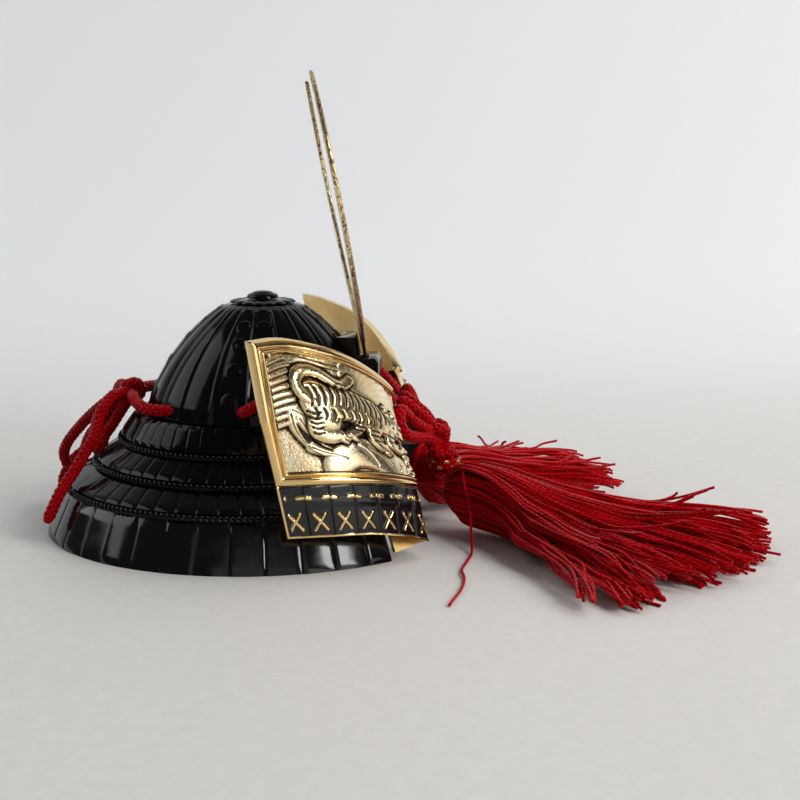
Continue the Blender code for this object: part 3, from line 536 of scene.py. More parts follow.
def makeFrontKnot():
    routes = []
    for side in (-1, 1):
        routes += [placed(frontStrand, side), placed(frontWing, side)]
    x, y, z = knot["centre"]
    y += axisY
    # lobes of the knot, over and under
    for offset, normal, radius, squash in (
            ((-0.0024, 0.0006, 0.0016), (0.75, 0.35, 0.55), 0.0027, 0.85),
            ((0.0024, 0.0006, 0.0016), (-0.75, 0.35, 0.55), 0.0027, 0.85),
            ((-0.0020, -0.0002, -0.0012), (0.55, 0.55, -0.65), 0.0027, 0.85),
            ((0.0020, -0.0002, -0.0012), (-0.55, 0.55, -0.65), 0.0027, 0.85),
            ((-0.0008, -0.0008, -0.0034), (0.25, 0.25, 0.95), 0.0026, 0.9),
            ((0.0006, 0.0002, 0.0002), (0.1, 0.9, 0.35), 0.0024, 1.0)):
        centre = (x + offset[0], y + offset[1], z + offset[2])
        routes.append(wrapRing(centre, normal, radius, squash))
    bx, by, bz = knot["bandCentre"]
    by += axisY
    for k in range(4):          # strands through the band to the tassels
        dx, dy = 0.0015 * cos(pi / 4 + k * pi / 2), 0.0015 * sin(pi / 4 + k * pi / 2)
        routes.append([(bx + dx, by + dy, bz + 0.0040), (bx + dx, by + dy, bz),
                       (bx + dx * 1.6, by + dy * 1.6, bz - 0.0040)])
    return braidPiece("frontKnot", routes, "front_knot")


makeFrontKnot()


def makeBand():
    # red turns of thread with two staggered rows of gold beads
    x, y, z = knot["bandCentre"]
    y += axisY
    turns, radius = knot["bandTurns"], knot["bandRadius"] - 0.00040
    angle = np.linspace(0.0, 2 * pi * turns, turns * 40)
    rise = np.linspace(-0.5, 0.5, len(angle)) * (knot["bandHeight"] - 0.0007)
    path = np.stack([x + radius * np.cos(angle), y + radius * np.sin(angle), z + rise], axis=1)
    winding = sweep("bandWinding", [path], [np.ones(len(path))], 0.00038, redBraid, sides=8)
    done(winding, "gold_thread", "knot_band")
    paths, widths = [], []
    for k in range(knot["beads"]):
        a = 2 * pi * (k + 0.3) / knot["beads"]
        level = z + (knot["beadRise"] if k % 2 else -knot["beadRise"])
        r = knot["bandRadius"] - 0.00028
        bead = [(x + r * cos(a + t), y + r * sin(a + t), level) for t in np.linspace(-0.16, 0.16, 7)]
        paths.append(np.array(bead))
        widths.append(0.15 + np.sqrt(np.clip(1 - np.linspace(-1, 1, 7) ** 2, 0.0, 1.0)) * 1.1)
    return done(sweep("bandBeads", paths, widths, 0.00048, goldThread, sides=10), "gold_thread", "knot_band")


makeBand()

tassels = {
    "left": {"head": (-0.0112, -0.0556, 0.0102), "length": 0.0745, "first": 3.0, "last": -68.0,
             "threads": 330, "clumps": 38, "seed": 11, "flyaways": 12, "lift": (0.004, 0.009), "short": 0.10,
             "cluster": 26, "curl": 0.0060},
    "right": {"head": (0.0115, -0.0452, 0.0100), "length": 0.0565, "first": 73.0, "last": 21.0,
              "threads": 230, "clumps": 24, "seed": 23, "flyaways": 11, "lift": (0.001, 0.004), "short": 0.12,
              "cluster": 0, "curl": 0.0024},
}
tasselForm = {"thread": 0.00037, "headHalf": 0.0078, "headBack": 0.0080, "points": 43,
              "run": (-0.0078, -0.004, 0.0, 0.008, 0.016, 0.026, 0.040, 0.056, 0.075),
              "top": (0.0115, 0.0172, 0.0190, 0.0183, 0.0162, 0.0135, 0.0110, 0.0092, 0.0074)}


def tasselPaths(spec):
    draw = np.random.default_rng(spec["seed"])
    form = tasselForm
    x, y = spec["head"][:2]
    middle = radians((spec["first"] + spec["last"]) / 2)
    half = radians(spec["first"] - spec["last"]) / 2
    ahead = np.array((sin(middle), -cos(middle)))
    across = np.array((cos(middle), sin(middle)))
    clumps = []
    for k in range(spec["clumps"]):
        u = -1.0 + 2.0 * (k + draw.random()) / spec["clumps"]
        clumps.append({"u": u, "w": draw.uniform(-1.0, 1.0) * np.sqrt(1.0 - 0.7 * u * u),
                       "long": 1.0 - spec["short"] * draw.random(), "swing": draw.normal(0.0, 1.0, 6),
                       "curl": draw.uniform(-0.4, 1.0), "droop": draw.random()})
    paths, widths = [], []
    for k in range(spec["threads"]):
        turn, out = 2 * pi * draw.random(), draw.random() ** 0.32
        u0, w0 = out * cos(turn), out * sin(turn)
        if k < spec["cluster"]:      # a short lock lying on top
            u0, w0 = draw.uniform(-0.75, -0.15), 0.95
        nearness = [(c["u"] - u0) ** 2 + 0.5 * (c["w"] - w0) ** 2 + 0.06 * draw.random() for c in clumps]
        clump = clumps[int(np.argmin(nearness))]
        long = spec["length"] * (clump["long"] + draw.uniform(-0.04, 0.04))
        if k < spec["cluster"]:
            long = spec["length"] * draw.uniform(0.68, 0.78)
        elif k < spec["cluster"] + spec["flyaways"]:
            long = min(long, spec["length"] * draw.uniform(0.80, 0.92))
        r = np.linspace(-form["headBack"] * (0.72 + 0.28 * out), long, form["points"])
        share = np.clip(r / long, 0.0, 1.0)
        pull = 0.60 * share
        u = u0 * (1 - pull) + clump["u"] * pull
        w = w0 * (1 - pull) + clump["w"] * pull * (0.0 if k < spec["cluster"] else 1.0)
        bulge = np.sqrt(np.clip(1.0 - np.clip(-r / form["headBack"], 0.0, 1.0) ** 2, 0.0, 1.0))
        fade = np.clip(1.0 - r / (0.6 * long), 0.0, 1.0)
        lateral = u * form["headHalf"] * bulge * np.where(r < 0, 1.0, fade ** 1.3)
        angle = middle + u * half * np.clip(0.30 + r / (0.60 * long), 0.0, 1.0)
        far = np.clip(r, 0.0, None)
        px = x + np.where(r < 0, r * ahead[0], far * np.sin(angle)) + across[0] * lateral
        py = y + np.where(r < 0, r * ahead[1], -far * np.cos(angle)) + across[1] * lateral
        top = np.interp(r, form["run"], form["top"])
        low = np.interp(r, (-form["headBack"], 0.0, 0.012), (0.0085, 0.0018, 0.0006))
        height = low + (top - low - 0.0004) * (0.5 + 0.5 * w * bulge)
        own = draw.normal(0.0, 1.0, 4)
        swing = clump["swing"]
        sway = share ** 1.3 * 0.0016
        px += sway * (swing[0] * np.sin(2.4 * pi * share + swing[1] * 3)
                      + 0.5 * own[0] * np.sin(5 * pi * share + own[1]))
        py += sway * (swing[2] * np.sin(2.1 * pi * share + swing[3] * 3)
                      + 0.5 * own[1] * np.sin(6 * pi * share + own[0]))
        bend = np.clip((share - 0.45) / 0.55, 0.0, 1.0) ** 2 * spec["curl"] * clump["curl"]
        px -= bend * cos(angle[-1]) * (0.6 + 0.8 * draw.random())
        py -= bend * sin(angle[-1]) * (0.6 + 0.8 * draw.random())
        height += share ** 1.5 * 0.0016 * swing[4] + share ** 2 * 0.0009 * own[2]
        start = 0.90 if k < spec["cluster"] else 0.78
        droop = np.clip((share - start) / (1 - start), 0.0, 1.0) ** 1.8 * (0.2 + 0.8 * clump["droop"])
        height = height * (1.0 - droop * draw.uniform(0.3, 1.0) * (0.45 if k < spec["cluster"] else 1.0))
        if spec["cluster"] <= k < spec["cluster"] + spec["flyaways"]:
            lift = np.clip((share - 0.70) / 0.30, 0.0, 1.0) ** 1.4
            height = top * draw.uniform(0.8, 1.0) + lift * draw.uniform(*spec["lift"])
            px = px + lift * 0.005 * draw.normal()
            py = py + lift * 0.005 * draw.normal()
        thick = 1.0 + 0.45 * np.exp(-((r - long + 0.0008) / 0.0006) ** 2)
        height = np.maximum(height, form["thread"] * thick * 1.02)
        paths.append(np.stack([px, py + axisY, height], axis=1))
        widths.append(thick * draw.uniform(0.88, 1.08))
    return paths, widths


strayRoute = [(-0.0165, -0.0530, 0.0172), (-0.0185, -0.0533, 0.0150), (-0.0200, -0.0547, 0.0094),
              (-0.0260, -0.0553, 0.0045), (-0.0331, -0.0556, 0.0010), (-0.0400, -0.0546, 0.00062),
              (-0.0482, -0.0533, 0.0006), (-0.0560, -0.0540, 0.0006), (-0.0644, -0.0533, 0.0006),
              (-0.0730, -0.0515, 0.0006), (-0.0760, -0.0510, 0.0006)]


def makeTassel(label):
    spec = tassels[label]
    paths, widths = tasselPaths(spec)
    if label == "left":
        stray = smoothPath(placed(strayRoute), 0.0012)
        paths.append(stray)
        widths.append(1.0 + 0.5 * np.exp(-((np.arange(len(stray)) - len(stray) + 2) / 1.0) ** 2))
    piece = sweep("tassel" + label.title(), paths, widths, tasselForm["thread"], redThread, sides=5)
    return done(piece, "red_cord", "tassel_" + label)


for label in tassels:
    makeTassel(label)
print("front knot and tassels made")


def dome(away):
    return np.sqrt(np.clip(1.0 - away ** 2, 0.0, 1.0))


# Bowl: ribs and stacked tongues

bowl = {"radius": 0.0304, "height": 0.0303, "flatness": 1.38, "roundness": 1.68, "wall": 0.0020, "gores": 20,
        "flatRadius": 0.0092, "rib": 0.00050, "ribWidth": 0.00040, "tongueHeight": 0.00034,
        "tongues": (0.0030, 0.0080, 0.0140, 0.0215, 0.0295, 0.0375), "marked": (4, 5, 9, 10, 14, 15, 19, 0),
        "columns": 500, "rows": 136}
guard = {"rim": 0.0552, "height": 0.0307, "setback": 0.0020, "front": 46.0, "wall": 0.0011, "rope": 0.00068,
         "ledge": 0.0062,
         "corners": [(0.569, 1.0), (0.654, 0.792), (0.772, 0.606), (0.911, 0.423), (1.0, 0.0)]}
gap = 0.0003
brow = guard["height"] + gap
guardPlace = axisPlace + np.array((0.0, guard["setback"], 0.0))


def bowlProfile(turn):
    return (bowl["radius"] * np.cos(turn) ** (2 / bowl["roundness"]),
            bowl["height"] * np.sin(turn) ** (2 / bowl["flatness"]))


def makeBowl():
    low, high = 0.0, pi / 2
    for _ in range(40):
        middle = (low + high) / 2
        if bowlProfile(middle)[0] > bowl["flatRadius"]:
            low = middle
        else:
            high = middle
    turns = low * np.linspace(0.0, 1.0, bowl["rows"]) ** 0.85
    radius, height = bowlProfile(turns)
    run = np.concatenate([[0.0], np.cumsum(np.hypot(np.diff(radius), np.diff(height)))])
    angle = np.linspace(0.0, 2 * pi, bowl["columns"], endpoint=False)
    rad, ang = np.meshgrid(radius, angle, indexing="ij")
    hgt = np.repeat(height[:, None], len(angle), axis=1)
    along = np.repeat(run[:, None], len(angle), axis=1)
    goreWidth = 2 * pi * rad / bowl["gores"]
    share = ang * bowl["gores"] / (2 * pi)
    nearest = np.abs(share - np.round(share)) * goreWidth
    rib = bowl["rib"] * np.exp(-(nearest / bowl["ribWidth"]) ** 2)
    inGore = (share - np.floor(share) - 0.5) * goreWidth
    flat = 0.00030 * (1.0 - (2 * inGore / goreWidth) ** 2)
    down = run[-1] - along
    ring = np.zeros(down.shape)
    cap = np.zeros(down.shape)
    for k, place in enumerate(bowl["tongues"]):
        size = np.minimum(0.34 * goreWidth, 0.00165)
        tall = size * (0.9 + 0.22 * k)
        rise = place - down
        away = np.hypot(inGore / size, np.where(rise > 0, rise / size, rise / tall))
        strength = 0.9 + rise / tall
        edge = np.exp(-((away - 1) * size / 0.00026) ** 2)
        ring = np.maximum(ring, edge * np.clip(strength, 0.1, 1.0))
        cap = np.maximum(cap, dome(away / 0.8) * np.clip(strength, 0.2, 1.0))
    gore = np.floor(share).astype(int) % bowl["gores"]
    marked = np.isin(gore, bowl["marked"]).astype(float)
    fade = np.clip(down / 0.002, 0.0, 1.0) * np.clip((along - 0.0012) / 0.002, 0.0, 1.0)
    lift = rib * np.clip(down / 0.003, 0.0, 1.0) + flat * fade
    lift += marked * fade * bowl["tongueHeight"] * (ring + 0.3 * cap)
    slopeR, slopeZ = np.gradient(radius), np.gradient(height)
    norm = np.hypot(slopeR, slopeZ)
    outR, outZ = (slopeZ / norm)[:, None], (-slopeR / norm)[:, None]
    rr, zz = rad + lift * outR, hgt + lift * outZ
    rows = [around(rr[i], angle, brow + zz[i]) + axisPlace for i in range(bowl["rows"])]
    columns = bowl["columns"]
    shrink = 1.0 - bowl["wall"] / bowl["radius"]
    lower = 1.0 - bowl["wall"] / bowl["height"]
    inner = [around(radius[i] * shrink, angle, brow + height[i] * lower) + axisPlace
             for i in range(bowl["rows"] - 1, -1, -10)]
    inner.append(around(radius[0] * shrink, angle, brow) + axisPlace)
    points = np.vstack(rows + inner)
    total = len(rows) + len(inner)
    faces = gridFaces(total, columns, ring=True)
    top = len(rows) - 1
    bottomRow = (total - 1) * columns
    faces = [face for face in faces if not (face[0] // columns == top)]
    faces += [tuple(top * columns + j for j in range(columns))]
    faces += [tuple((top + 1) * columns + j for j in range(columns))[::-1]]
    faces += [(bottomRow + j, bottomRow + (j + 1) % columns, (j + 1) % columns, j) for j in range(columns)]
    piece = meshPiece("bowlShell", points, faces, darkLacquer)
    return done(faceOut(piece, 50), "gloss_black", "bowl")


makeBowl()
print("bowl made")


# Neck guard

rows = {"flute": 6.3, "lean": 0.9, "depth": 0.00045, "panel": 9.0, "panelStep": 0.00060,
        "phases": (0.0, 0.03, 0.06, 0.12, 0.25, 0.42, 0.60, 0.78, 0.90, 0.96),
        "heights": (0.0, 0.55, 0.92, 1.0, 0.93, 0.80, 0.66, 0.52, 0.40, 0.20)}


def corner(index):
    r, z = guard["corners"][index]
    return np.array((r * guard["rim"], z * guard["height"]))


def slopeOf(start, end):
    along = (end - start) / np.linalg.norm(end - start)
    return along, np.array((-along[1], along[0]))


def rowFace(index):
    start, end = corner(index), corner(index + 1)
    if index:
        along, out = slopeOf(*rowFace(index - 1))
        start = start - out * (guard["wall"] + gap) + along * gap
    return start, end


def makeRow(index):
    start, end = rowFace(index)
    along, out = slopeOf(start, end)
    lowest = index == len(guard["corners"]) - 2
    ropeRoom = 0.0 if lowest else guard["rope"] * 1.3
    length = np.linalg.norm(end - start) - ropeRoom
    first, last = radians(guard["front"]), 2 * pi - radians(guard["front"])
    pitch = radians(rows["panel"] if lowest else rows["flute"])
    cells = int(np.ceil((last - first) / pitch))
    grid = [(first + (k + p) * pitch, h) for k in range(cells)
            for p, h in zip(rows["phases"], rows["heights"])]
    grid = [(angle, h) for angle, h in grid if angle < last - 0.002] + [(last, 0.3)]
    steps = 12
    loops = []
    top = start - np.array((guard["ledge"], 0.0))
    if index:
        top = start - slopeOf(*rowFace(index - 1))[0] * 0.0024
    topOut = slopeOf(top, start)[1]
    for angle, height in grid:
        ends = min(1.0, (angle - first) * 12, (last - angle) * 12)
        profile = [(top, angle), (start * 0.6 + top * 0.4, angle), (start, angle)]
        cell = int((angle - first) / pitch)
        for i in range(1, steps + 1):
            share = i / steps
            if lowest:
                lift = rows["panelStep"] * (1.0 if cell % 2 else 0.6) * height
                lift *= min(1.0, share * 6, (1 - share) * 30 + 0.4)
                turned = angle
            else:
                lift = rows["depth"] * height * min(1.0, share * 7, (1 - share) * 8 + 0.1)
                turned = angle + radians(rows["lean"]) * (share - 0.5) * 2 * ends
            profile.append((start + along * length * share + out * (lift - 0.0001), turned))
        bottom = start + along * length - out * guard["wall"]
        if lowest:
            bottom = np.array((end[0] - guard["wall"] / out[0], end[1]))
        profile += [(bottom, angle), (start - out * guard["wall"], angle),
                    (top - topOut * guard["wall"], angle)]
        loops.append([around(p[0], a, max(p[1], 0.0)) + guardPlace for p, a in profile])
    size = len(loops[0])
    points = np.array(loops).reshape(-1, 3)
    faces = gridFaces(len(loops), size, ring=True)
    faces.append(tuple(range(size)))
    faces.append(tuple((len(loops) - 1) * size + k for k in range(size))[::-1])
    piece = meshPiece("guardRow%d" % (index + 1), points, faces, lacquer if lowest else darkLacquer)
    return done(faceOut(piece, 32), "gloss_black", "neck_lame_%d" % (index + 1))


def makeRope(index):
    start, end = rowFace(index)
    along, out = slopeOf(start, end)
    centre = end + along * 0.0002 - out * 0.0006
    first, last = radians(guard["front"] + 0.4), 2 * pi - radians(guard["front"] + 0.4)
    count = int((last - first) * centre[0] / 0.00026)
    angle = np.linspace(first, last, count)
    ring = around(centre[0], angle, centre[1]) + guardPlace
    across = around(out[0], angle, out[1])
    down = around(along[0], angle, along[1])
    run = angle * centre[0]
    paths, widths = [], []
    for k in range(2):
        turn = 2 * pi * run / 0.0030 + pi * k
        path = ring + across * (0.00040 * np.cos(turn))[:, None] + down * (0.00040 * np.sin(turn))[:, None]
        paths.append(path)
        widths.append(np.ones(count))
    piece = sweep("guardRope%d" % (index + 1), paths, widths, 0.00048, darkLacquer, sides=7)
    return done(piece, "gloss_black", "neck_lame_%d" % (index + 1))


for index in range(4):
    makeRow(index)
    if index < 3:
        makeRope(index)
print("neck guard made")

# Crown, visor and crest block

crown = {"edge": 0.0088, "hole": 0.0017, "wall": 0.0008, "petals": 16, "notch": 0.0008, "button": 0.0042,
         "rise": 0.0020, "stem": 0.0014, "stemLength": 0.0050}


def turnedForm(name, rings, finish):
    # rings of points from the underside's middle round to the top's middle
    columns = len(rings[0])
    points = np.vstack(rings)
    faces = gridFaces(len(rings), columns, ring=True)
    faces += [tuple(range(columns)), tuple((len(rings) - 1) * columns + j for j in range(columns))[::-1]]
    return faceOut(meshPiece(name, points, faces, finish), 40)


def makeCrown():
    flatTurn = np.arccos((bowl["flatRadius"] / bowl["radius"]) ** (bowl["roundness"] / 2))
    seat = brow + bowlProfile(flatTurn)[1] + gap
    angle = np.linspace(0.0, 2 * pi, crown["petals"] * 16, endpoint=False)
    lobe = np.abs(np.cos(angle * crown["petals"] / 2)) ** 0.7

    def ring(radius, height, scallop, ridge):
        radius = radius - crown["notch"] * scallop * (1 - lobe)
        return around(radius, angle, height + ridge * lobe) + axisPlace

    edge, wall = crown["edge"], crown["wall"]
    rings = [ring(crown["hole"], seat, 0, 0), ring(edge - 0.0004, seat, 1, 0),
             ring(edge, seat + 0.0002, 1, 0)]
    for share in (0.15, 0.35, 0.6, 0.8, 0.93, 1.0):
        rings.append(ring(edge - 0.0034 * share, seat + 0.0003 + 0.00030 * sin(share * pi / 2), 1 - share,
                          0.00034 * sin(share * pi) ** 0.7))
    rings += [ring(0.0052, seat + wall * 0.9, 0, 0), ring(0.0049, seat + wall, 0, 0),
              ring(crown["hole"], seat + wall, 0, 0)]
    points, columns = np.vstack(rings), len(angle)
    faces = gridFaces(len(rings), columns, ring=True)
    last = (len(rings) - 1) * columns
    faces += [(last + j, last + (j + 1) % columns, (j + 1) % columns, j) for j in range(columns)]
    done(faceOut(meshPiece("crownRing", points, faces, darkLacquer), 40), "gloss_black", "crown_ring")

    base = seat + wall + gap
    end = base - crown["stemLength"]
    profile = [(0.0005, end), (crown["stem"], end + 0.0002), (crown["stem"], base),
               (crown["button"] - 0.0002, base), (crown["button"], base + 0.0002)]
    profile += [(crown["button"] * cos(a), base + 0.0002 + (crown["rise"] - 0.0002) * sin(a))
                for a in map(radians, (12, 24, 34))]
    profile += [(0.00315, base + 0.00118), (0.00295, base + 0.00126)]
    profile += [(0.0028 * cos(a), base + 0.00126 + 0.00074 * sin(a))
                for a in map(radians, (15, 35, 55, 70, 82))]
    turn = np.linspace(0.0, 2 * pi, 64, endpoint=False)
    rings = [around(r, turn, z) + axisPlace for r, z in profile]
    done(turnedForm("crownButton", rings, darkLacquer), "gloss_black", "crown_button")


def roundedCopy(node, name, width, finish):
    # the same form with its edges rounded off
    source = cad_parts[node]
    mesh = source.data.copy()
    mesh.name = name
    mesh.transform(source.matrix_world)
    form = bmesh.new()
    form.from_mesh(mesh)
    bmesh.ops.remove_doubles(form, verts=form.verts, dist=0.00001)
    bmesh.ops.dissolve_limit(form, angle_limit=radians(2), verts=form.verts, edges=form.edges)
    form.to_mesh(mesh)
    form.free()
    mesh.materials.clear()
    mesh.materials.append(finish)
    piece = newPiece(name, mesh)
    roundEdges(piece, width, 3, 35, 30)
    piece.data.polygons.foreach_set("material_index", np.zeros(len(piece.data.polygons), dtype=np.int32))
    return done(piece, "gloss_black", node)


visor = {"half": 30.0, "depth": 0.0098, "drop": 0.0042, "lip": 0.00075}


def makeVisorLip():
    # the rolled edge along the visor's front
    half = radians(visor["half"])
    turn = np.linspace(-half * 0.98, half * 0.98, 90)
    share = np.cos(turn * pi / 2 / half * 0.96) ** 0.6
    path = around(bowl["radius"] + 0.0009 + visor["depth"] * share, turn,
                  guard["height"] - visor["drop"] * share - 0.0005) + axisPlace
    piece = sweep("visorLip", [path], [np.ones(len(path))], visor["lip"], darkLacquer, sides=12)
    return done(piece, "gloss_black", "visor")


makeCrown()
roundedCopy("visor", "visorSheet", 0.0003, darkLacquer)
makeVisorLip()
roundedCopy("crest_block", "crestBlock", 0.0004, darkLacquer)
print("crown, visor and crest block made")


# Turn-back plates

plate = {"top": 0.0554, "reach": 0.0560, "wall": 0.0011, "border": 0.27, "parts": 16, "bend": 4,
         "columns": 284, "rows": 262, "tall": 47.5, "widths": (38.1, 41.0, 45.4, 51.8), "ridge": 0.00045,
         "sections": [
             (0.00, [(0.964, 0.232, 0.167), (0.914, 0.417, 0.166), (0.836, 0.583, 0.156),
                     (0.732, 0.721, 0.119), (0.638, 0.804, 0.073), (0.611, 0.770, 0.061),
                     (0.706, 0.667, 0.040)]),
             (0.27, [(0.982, 0.188, 0.390), (0.927, 0.370, 0.388), (0.832, 0.543, 0.374),
                     (0.696, 0.681, 0.339), (0.564, 0.745, 0.294), (0.536, 0.714, 0.274),
                     (0.625, 0.596, 0.253)]),
             (0.60, [(1.0, 0.132, 0.665), (0.918, 0.297, 0.661), (0.804, 0.467, 0.625), (0.639, 0.601, 0.561),
                     (0.457, 0.668, 0.484), (0.421, 0.630, 0.457), (0.438, 0.413, 0.469)]),
             (1.0, [(1.0, 0.083, 1.0), (0.825, 0.203, 0.993), (0.686, 0.395, 0.928), (0.507, 0.525, 0.830),
                    (0.325, 0.612, 0.715), (0.304, 0.569, 0.679), (0.399, 0.391, 0.600)])]}


def plateLine(share, across):
    # places and outward directions along one level line; 0 to 1 runs to the bend, 1 to 2 down the leg
    shares = [section[0] for section in plate["sections"]]
    scale = np.array((plate["reach"], -guard["rim"], plate["top"]))
    knots = np.array([[np.interp(share, shares, [section[1][i][k] for section in plate["sections"]])
                       for k in range(3)] for i in range(7)]) * scale
    line = betweenPoints(knots, plate["parts"])
    run = runOf(line)
    turn = run[plate["bend"] * plate["parts"]]
    across = np.asarray(across, dtype=float)
    at = np.where(across <= 1.0, across * turn, turn + (across - 1.0) * (run[-1] - turn))
    places = readAt(at, run, line)
    tangent = readAt(at, run, np.gradient(line, axis=0))
    outs = np.stack([-tangent[:, 1], tangent[:, 0], np.zeros(len(at))], axis=1)
    return places, outs / np.linalg.norm(outs, axis=1)[:, None]


# Relief strokes over the panel: path in shares of the panel, radii and height in millimetres
panel = {"wide": 42.0, "tall": 27.0, "left": 3.5, "low": 3.4, "high": 3.3}
beast = [
    ([(0.245, 0.60), (0.170, 0.68), (0.160, 0.79), (0.225, 0.87), (0.32, 0.86), (0.39, 0.80), (0.455, 0.795),
      (0.515, 0.87)], (1.75, 1.15), 1.25),
    ([(0.27, 0.60), (0.30, 0.50)], (5.0, 4.4), 1.05),
    ([(0.30, 0.60), (0.45, 0.61), (0.58, 0.585), (0.66, 0.565)], (4.2, 4.1), 1.15),
    ([(0.63, 0.57), (0.73, 0.54)], (4.4, 3.8), 1.25),
    ([(0.79, 0.56), (0.85, 0.53)], (3.5, 3.2), 1.4),
    ([(0.885, 0.475), (0.92, 0.45)], (2.1, 1.8), 1.6),
    ([(0.775, 0.685), (0.785, 0.705)], (1.1, 0.9), 1.45),
    ([(0.865, 0.660), (0.880, 0.680)], (1.1, 0.9), 1.45),
    ([(0.25, 0.48), (0.225, 0.37), (0.29, 0.31), (0.37, 0.325)], (3.0, 1.5), 0.95),
    ([(0.66, 0.48), (0.61, 0.37), (0.655, 0.28), (0.71, 0.245)], (2.7, 1.5), 1.05),
    ([(0.55, 0.49), (0.495, 0.40), (0.43, 0.345)], (2.1, 1.4), 0.95),
    ([(0.80, 0.44), (0.78, 0.33), (0.83, 0.27)], (2.3, 1.3), 1.0),
    ([(0.385, 0.325), (0.415, 0.305)], (0.95, 0.8), 1.05),
    ([(0.375, 0.290), (0.400, 0.270)], (0.85, 0.7), 1.0),
    ([(0.430, 0.350), (0.455, 0.325)], (0.9, 0.75), 1.1),
    ([(0.445, 0.320), (0.470, 0.300)], (0.85, 0.7), 1.05),
    ([(0.720, 0.240), (0.745, 0.215)], (0.9, 0.75), 1.1),
    ([(0.700, 0.215), (0.720, 0.190)], (0.85, 0.7), 1.05),
    ([(0.835, 0.270), (0.855, 0.245)], (0.85, 0.7), 1.05),
]
leaves = [
    [(0.085, 0.50), (0.095, 0.36), (0.15, 0.22), (0.215, 0.15)],
    [(0.13, 0.46), (0.17, 0.36), (0.235, 0.25), (0.30, 0.20)],
    [(0.10, 0.53), (0.18, 0.47), (0.255, 0.38), (0.32, 0.33)],
    [(0.17, 0.21), (0.24, 0.17), (0.32, 0.15), (0.39, 0.12)],
]


# The frame's section from the edge inwards, and the stitches on the border, in millimetres
rail = {"wide": 3.4, "away": (0.0, 0.2, 0.5, 0.9, 1.3, 1.7, 2.05, 2.3, 2.45, 2.65, 2.85, 3.05, 3.25, 3.5),
        "height": (0.0, 0.35, 0.62, 0.80, 0.86, 0.80, 0.62, 0.36, 0.44, 0.82, 1.02, 1.0, 0.74, 0.0)}
stitch = {"pitch": 0.1496, "start": 2.6, "crossLevel": 4.0, "dashLevel": 9.9}


def strokeAway(x, y, path, radii, box=1.6):
    # distance to a stroke as a share of its radius, worked out only near the stroke
    best = np.full(x.shape, 9.0)
    reach = max(radii) * box
    low = np.min(path, axis=0) - reach
    high = np.max(path, axis=0) + reach
    near = (x > low[0]) & (x < high[0]) & (y > low[1]) & (y < high[1])
    xs, ys = x[near], y[near]
    found = np.full(xs.shape, 9.0)
    count = len(path) - 1
    for k in range(count):
        (x0, y0), (x1, y1) = path[k], path[k + 1]
        dx, dy = x1 - x0, y1 - y0
        t = np.clip(((xs - x0) * dx + (ys - y0) * dy) / (dx * dx + dy * dy + 1e-12), 0.0, 1.0)
        radius = radii[0] + (radii[1] - radii[0]) * (k + t) / count
        found = np.minimum(found, np.hypot(xs - x0 - dx * t, ys - y0 - dy * t) / radius)
    best[near] = found
    return best


def curved(path, count=14):
    path = smoothPath([(x, y, 0.0) for x, y in path], 0.002)
    pick = np.linspace(0, len(path) - 1, min(count, len(path))).astype(int)
    return [(float(path[i][0]), float(path[i][1])) for i in pick]


def blurred(field, width):
    taps = np.exp(-(np.arange(-width * 2, width * 2 + 1) / width) ** 2)
    taps /= taps.sum()
    pad = width * 2
    tall = np.pad(field, ((pad, pad), (0, 0)), mode="edge")
    field = sum(tap * tall[i:i + field.shape[0]] for i, tap in enumerate(taps))
    wide = np.pad(field, ((0, 0), (pad, pad)), mode="edge")
    return sum(tap * wide[:, i:i + field.shape[1]] for i, tap in enumerate(taps))


def makeScenery(stroke, shape, draw):
    # rock, fan, bars and leaves behind the beast; heights in millimetres and the dark lines
    field, inkAndShade = np.zeros(shape), np.zeros(shape)
    for k in range(12):
        bearing = radians(82 - k * 8.0)
        tip = (0.50 + 0.46 * cos(bearing), 0.56 + 0.62 * sin(bearing))
        middle = (0.50 + 0.25 * cos(bearing + 0.2), 0.56 + 0.34 * sin(bearing + 0.2))
        field = np.maximum(field, 0.42 * dome(stroke([(0.50, 0.56), middle, tip], (1.3, 2.1))))
    rock = stroke([(0.30, 0.05), (0.46, 0.17), (0.64, 0.15), (0.84, 0.02)], (3.4, 4.6))
    field = np.maximum(field, 0.85 * dome(rock) ** 0.7)
    for path in ([(0.46, 0.25), (0.54, 0.18), (0.60, 0.07)], [(0.56, 0.24), (0.64, 0.19), (0.72, 0.08)]):
        crease = np.exp(-stroke(path, (0.45, 0.35)) ** 2)
        field -= 0.25 * crease * (field > 0.2)
        inkAndShade = np.maximum(inkAndShade, 0.45 * crease)
    for k in range(10):
        level = 0.955 - 0.058 * k
        reach = 0.115 + 0.02 * sin(k * 1.7) + 0.004 * k
        bar = stroke([(-0.01, level - 0.03), (0.06, level - 0.006), (reach, level + 0.012)], (0.86, 0.74))
        field = np.maximum(field, 0.85 * dome(bar))
    for k in range(4):
        wind = stroke([(0.04, 0.985 - 0.02 * k), (0.20, 0.965 - 0.012 * k),
                       (0.42 + 0.05 * k, 0.93 + 0.004 * k)], (0.5, 0.3))
        field = np.maximum(field, 0.5 * dome(wind))
    for path in leaves:
        field = np.maximum(field, 0.95 * dome(stroke(path, (1.55, 0.25))))
        vein = np.exp(-stroke(path, (0.26, 0.18)) ** 2)
        inkAndShade = np.maximum(inkAndShade, 0.85 * vein)
        field -= 0.22 * vein
    for _ in range(110):
        cx, cy = draw.uniform(0.80, 1.0), draw.uniform(0.0, 0.60)
        if cx < 0.90 and cy > 0.14:
            continue
        radius = draw.uniform(0.5, 1.0)
        lump = stroke([(cx, cy), (cx + 0.01, cy + 0.01)], (radius, radius))
        field = np.maximum(field, draw.uniform(0.6, 1.2) * dome(lump))
    return field, inkAndShade


